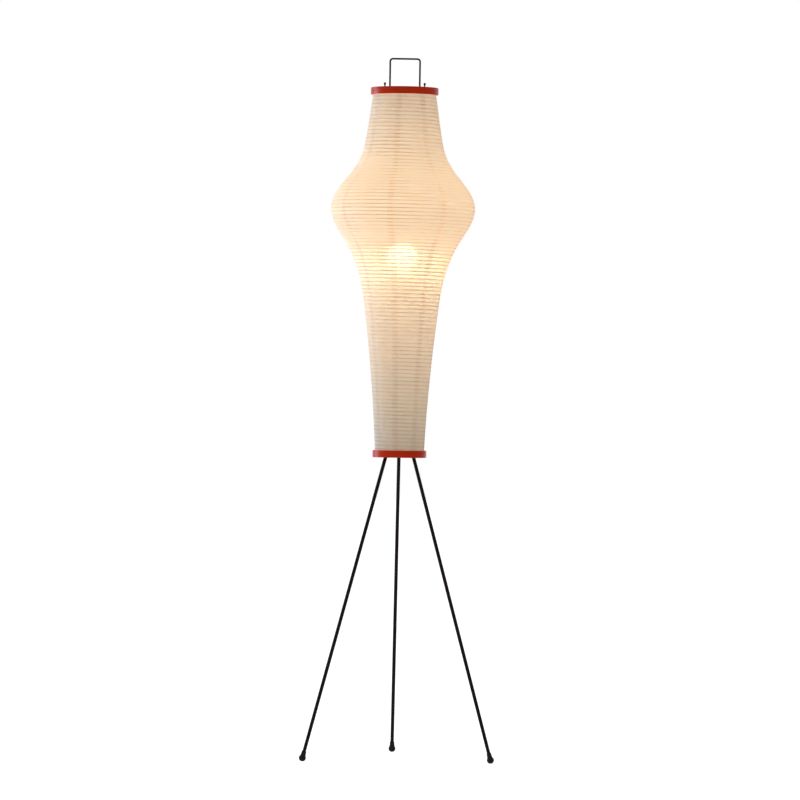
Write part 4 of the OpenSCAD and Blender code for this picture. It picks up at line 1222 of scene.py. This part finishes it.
class LANTERN_OT_bulb(bpy.types.Operator):
    """Make the opal bulb, its cap and what is inside it"""
    bl_idname = "lantern.bulb"
    bl_label = "Bulb"

    def execute(self, context):
        cap_metal = finish_of(rolled_aluminium)
        low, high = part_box("bulb_glass")
        cap_low, cap_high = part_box("bulb_cap")
        globe_r = high.x
        neck_r = cap_high.x - 0.0006
        args = (low.z, cap_high.z, neck_r, high.z - globe_r, globe_r)
        outer, inner = bulb_outline(0, *args), bulb_outline(0.0008, *args)
        mesh = turned(outer + list(reversed(inner)), 96)
        lit, unlit = finish_of(opal_glass_lit), finish_of(opal_glass)
        piece_from("bulb_globe", mesh, lit, "bulb", ["bulb_glass"])
        mesh.materials.append(unlit)
        centre = Vector((0, 0, high.z - globe_r))
        for face in mesh.polygons:
            out = Vector((face.center.x, face.center.y, max(face.center.z - centre.z, 0)))
            face.material_index = 0 if face.normal.dot(out) > 0 else 1
        cap = threaded(cap_metal, cap_high.x, 0.0007, cap_low.z, cap_high.z, 0.00363,
                       bore=cap_high.x - 0.0005, bore_depth=0.0007, columns=64, rows_a_turn=8)
        piece_from("bulb_screw_cap", cap, cap_metal, "bulb", ["bulb_cap"], sharp=60)
        piece_from("bulb_foot_glass", refined("bulb_insulator", 0.0004), finish_of(pressed_black_glass),
                   "bulb", ["bulb_insulator"])
        low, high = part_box("bulb_contact")
        button = [(0, low.z), (0.0025, low.z, 0.0008), (high.x, low.z + 0.0005, 0.0004),
                  (high.x, high.z, 0.0001), (0, high.z)]
        piece_from("bulb_button", turned(rounded(button, 0.0003), 40), cap_metal, "bulb_tip",
                   ["bulb_contact"])
        low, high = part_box("bulb_stem")
        flare = high.x
        stem = [(0, low.z), (flare, low.z, 0.0004), (flare, low.z + 0.003, 0.0015),
                (0.004, low.z + 0.0032, 0.002), (0.004, high.z - 0.001, 0.001),
                (0.0028, high.z, 0.0008), (0, high.z)]
        piece_from("bulb_glass_stem", turned(rounded(stem, 0.0006), 40), finish_of(pressed_clear_glass),
                   "bulb", ["bulb_stem"])
        hot = finish_of(glowing_tungsten)
        low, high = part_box("bulb_filament")
        level, width = high.z - 0.0008, high.x - low.x
        coil = grown(coil_tree(), bpy.data.meshes.new("seed"), length=width - 0.0006, coil_radius=0.0006,
                     wire_radius=0.00015, turns=26.0, level=level, material=hot)
        leads = [bent_wire([(side * 0.0032, 0, low.z + 0.0004), (side * 0.006, 0, low.z + 0.012),
                            (side * (width / 2 - 0.0006), 0, level)], 0.0003, 10, 0.0001) for side in (-1, 1)]
        piece_from("bulb_coil", joined([coil, *leads]), hot, "bulb", ["bulb_filament"])
        return {"FINISHED"}


# ---- Stage ----

# The key light's middle, what it points at, its width and height, and its colour
KEY_PLACE, KEY_AIM = (-3.08, 1.44, 0.9), (0, 0, 0.95)
KEY_SIZE, KEY_COLOUR = (1.6, 2.2), (0.49, 0.72, 1.0)
# The room light's share of its strength from the left and from the right
ROOM_LEFT, ROOM_RIGHT = 1.12, 0.7
# What the floor adds to its own colour, for the camera, so that it shows white
FLOOR_GLOW = 0.9
CAMERA_AIM = (-0.0004, 0.0, 0.8039)


class LANTERN_OT_stage(bpy.types.Operator):
    """Set up the floor, the soft light and the camera"""
    bl_idname = "lantern.stage"
    bl_label = "Stage"

    def execute(self, context):
        self.floor()
        self.room(context)
        self.key(context)
        self.camera(context)
        context.scene.view_settings.view_transform = "Standard"
        return {"FINISHED"}

    def floor(self):
        """A pale floor that shows white to the camera, apart from the lamp's own soft shadow."""
        half = 30.0
        corners = [(-half, -half, 0), (half, -half, 0), (half, half, 0), (-half, half, 0)]
        mesh = mesh_of(corners, [[0, 1, 2, 3]])
        floor = bpy.data.objects.new("floor", mesh)
        bpy.context.scene.collection.objects.link(floor)
        mesh.materials.append(finish_of(self.pale_floor))

    def seen_directly(self, tree):
        """1 for what the camera, a mirror or clear glass sees, and 0 for the light that reaches dull
        surfaces, which takes in what paper lets through."""
        seen = add(tree, "ShaderNodeLightPath")
        direct = add(tree, "ShaderNodeMath", [(seen, "Is Camera Ray"), (seen, "Is Glossy Ray")],
                     operation="MAXIMUM")
        sharp = add(tree, "ShaderNodeMath", [(seen, "Is Transmission Ray"), (seen, "Is Diffuse Ray")],
                    operation="SUBTRACT")
        return add(tree, "ShaderNodeMath", [direct, sharp], operation="MAXIMUM")

    def pale_floor(self, tree):
        """Seamless white studio floor."""
        shown = self.seen_directly(tree)
        strength = add(tree, "ShaderNodeMath", [shown, FLOOR_GLOW], operation="MULTIPLY")
        paint = add(tree, "ShaderNodeBsdfDiffuse", {"Color": linear("#ececec")})
        light = add(tree, "ShaderNodeEmission", {"Color": (1, 1, 1, 1), "Strength": strength})
        return add(tree, "ShaderNodeAddShader", [paint, light])

    def room(self, context):
        """Even room light, with a white background for the camera and for what mirrors it."""
        world = bpy.data.worlds.new("studio")
        world.use_nodes = True
        tree = world.node_tree
        tree.nodes.clear()
        shown = self.seen_directly(tree)
        # Darker on the right, away from the key light
        way = add(tree, "ShaderNodeSeparateXYZ", [(add(tree, "ShaderNodeTexCoord"), "Generated")])
        side = add(tree, "ShaderNodeMapRange", [(way, "X"), -1.0, 1.0, ROOM_LEFT, ROOM_RIGHT])
        strength = context.scene.lantern_stage.room_light
        level = add(tree, "ShaderNodeMath", [side, strength], operation="MULTIPLY")
        soft = add(tree, "ShaderNodeBackground", {"Color": linear("#f4efe8"), "Strength": level})
        white = add(tree, "ShaderNodeBackground", {"Color": (1, 1, 1, 1), "Strength": 1.0})
        mixed = add(tree, "ShaderNodeMixShader", [shown, soft, white])
        add(tree, "ShaderNodeOutputWorld", {"Surface": mixed})
        context.scene.world = world

    def key(self, context):
        """A large cool window light, from behind the lamp on the left."""
        data = bpy.data.lights.new("window_light", "AREA")
        data.shape, data.size, data.size_y = "RECTANGLE", *KEY_SIZE
        data.energy = context.scene.lantern_stage.key_power
        data.color = KEY_COLOUR
        light = bpy.data.objects.new("window_light", data)
        context.scene.collection.objects.link(light)
        light.location = KEY_PLACE
        aim = Vector(KEY_AIM) - light.location
        light.rotation_euler = aim.to_track_quat("-Z", "Y").to_euler()

    def camera(self, context):
        """The photograph's view: level, far off and a touch to the left."""
        s = context.scene.lantern_stage
        data = bpy.data.cameras.new("camera")
        camera = bpy.data.objects.new("camera", data)
        context.scene.collection.objects.link(camera)
        data.sensor_width = 36.0
        data.lens = data.sensor_width * s.camera_distance / s.frame_height
        data.clip_end = 100.0
        camera.location = (-s.camera_distance * math.sin(s.camera_turn),
                           -s.camera_distance * math.cos(s.camera_turn), s.camera_height)
        aim = Vector(CAMERA_AIM) - camera.location
        facing = aim.to_track_quat("-Z", "Y").to_matrix()
        camera.rotation_euler = (facing @ Matrix.Rotation(s.camera_roll, 3, "Z")).to_euler()
        context.scene.camera = camera


# ---- Panel and registration ----

STEPS = (LANTERN_OT_paper, LANTERN_OT_rib, LANTERN_OT_hoops, LANTERN_OT_wires, LANTERN_OT_hub,
         LANTERN_OT_legs, LANTERN_OT_lampholder, LANTERN_OT_bulb, LANTERN_OT_stage)
GROUPS = {"lantern_shade": ShadeSettings, "lantern_finish": FinishSettings, "lantern_stage": StageSettings}


class LANTERN_PT_pieces(bpy.types.Panel):
    """Lists the lantern's pieces and settings"""
    bl_label = "Paper Lantern"
    bl_idname = "LANTERN_PT_pieces"
    bl_space_type = "VIEW_3D"
    bl_region_type = "UI"
    bl_category = "Lantern"

    def draw(self, context):
        for step in STEPS:
            self.layout.operator(step.bl_idname)
        for name, group in GROUPS.items():
            box = self.layout.box()
            settings = getattr(context.scene, name)
            for field in group.__annotations__:
                box.prop(settings, field)


def register():
    for group in GROUPS.values():
        bpy.utils.register_class(group)
    for step in STEPS:
        bpy.utils.register_class(step)
    bpy.utils.register_class(LANTERN_PT_pieces)
    for name, group in GROUPS.items():
        setattr(bpy.types.Scene, name, PointerProperty(type=group))


def unregister():
    for name in GROUPS:
        delattr(bpy.types.Scene, name)
    for kind in (LANTERN_PT_pieces, *reversed(STEPS), *reversed(GROUPS.values())):
        bpy.utils.unregister_class(kind)


def main():
    register()
    for step in STEPS:
        group, name = step.bl_idname.split(".")
        getattr(getattr(bpy.ops, group), name)()


if __name__ == "__main__":
    main()
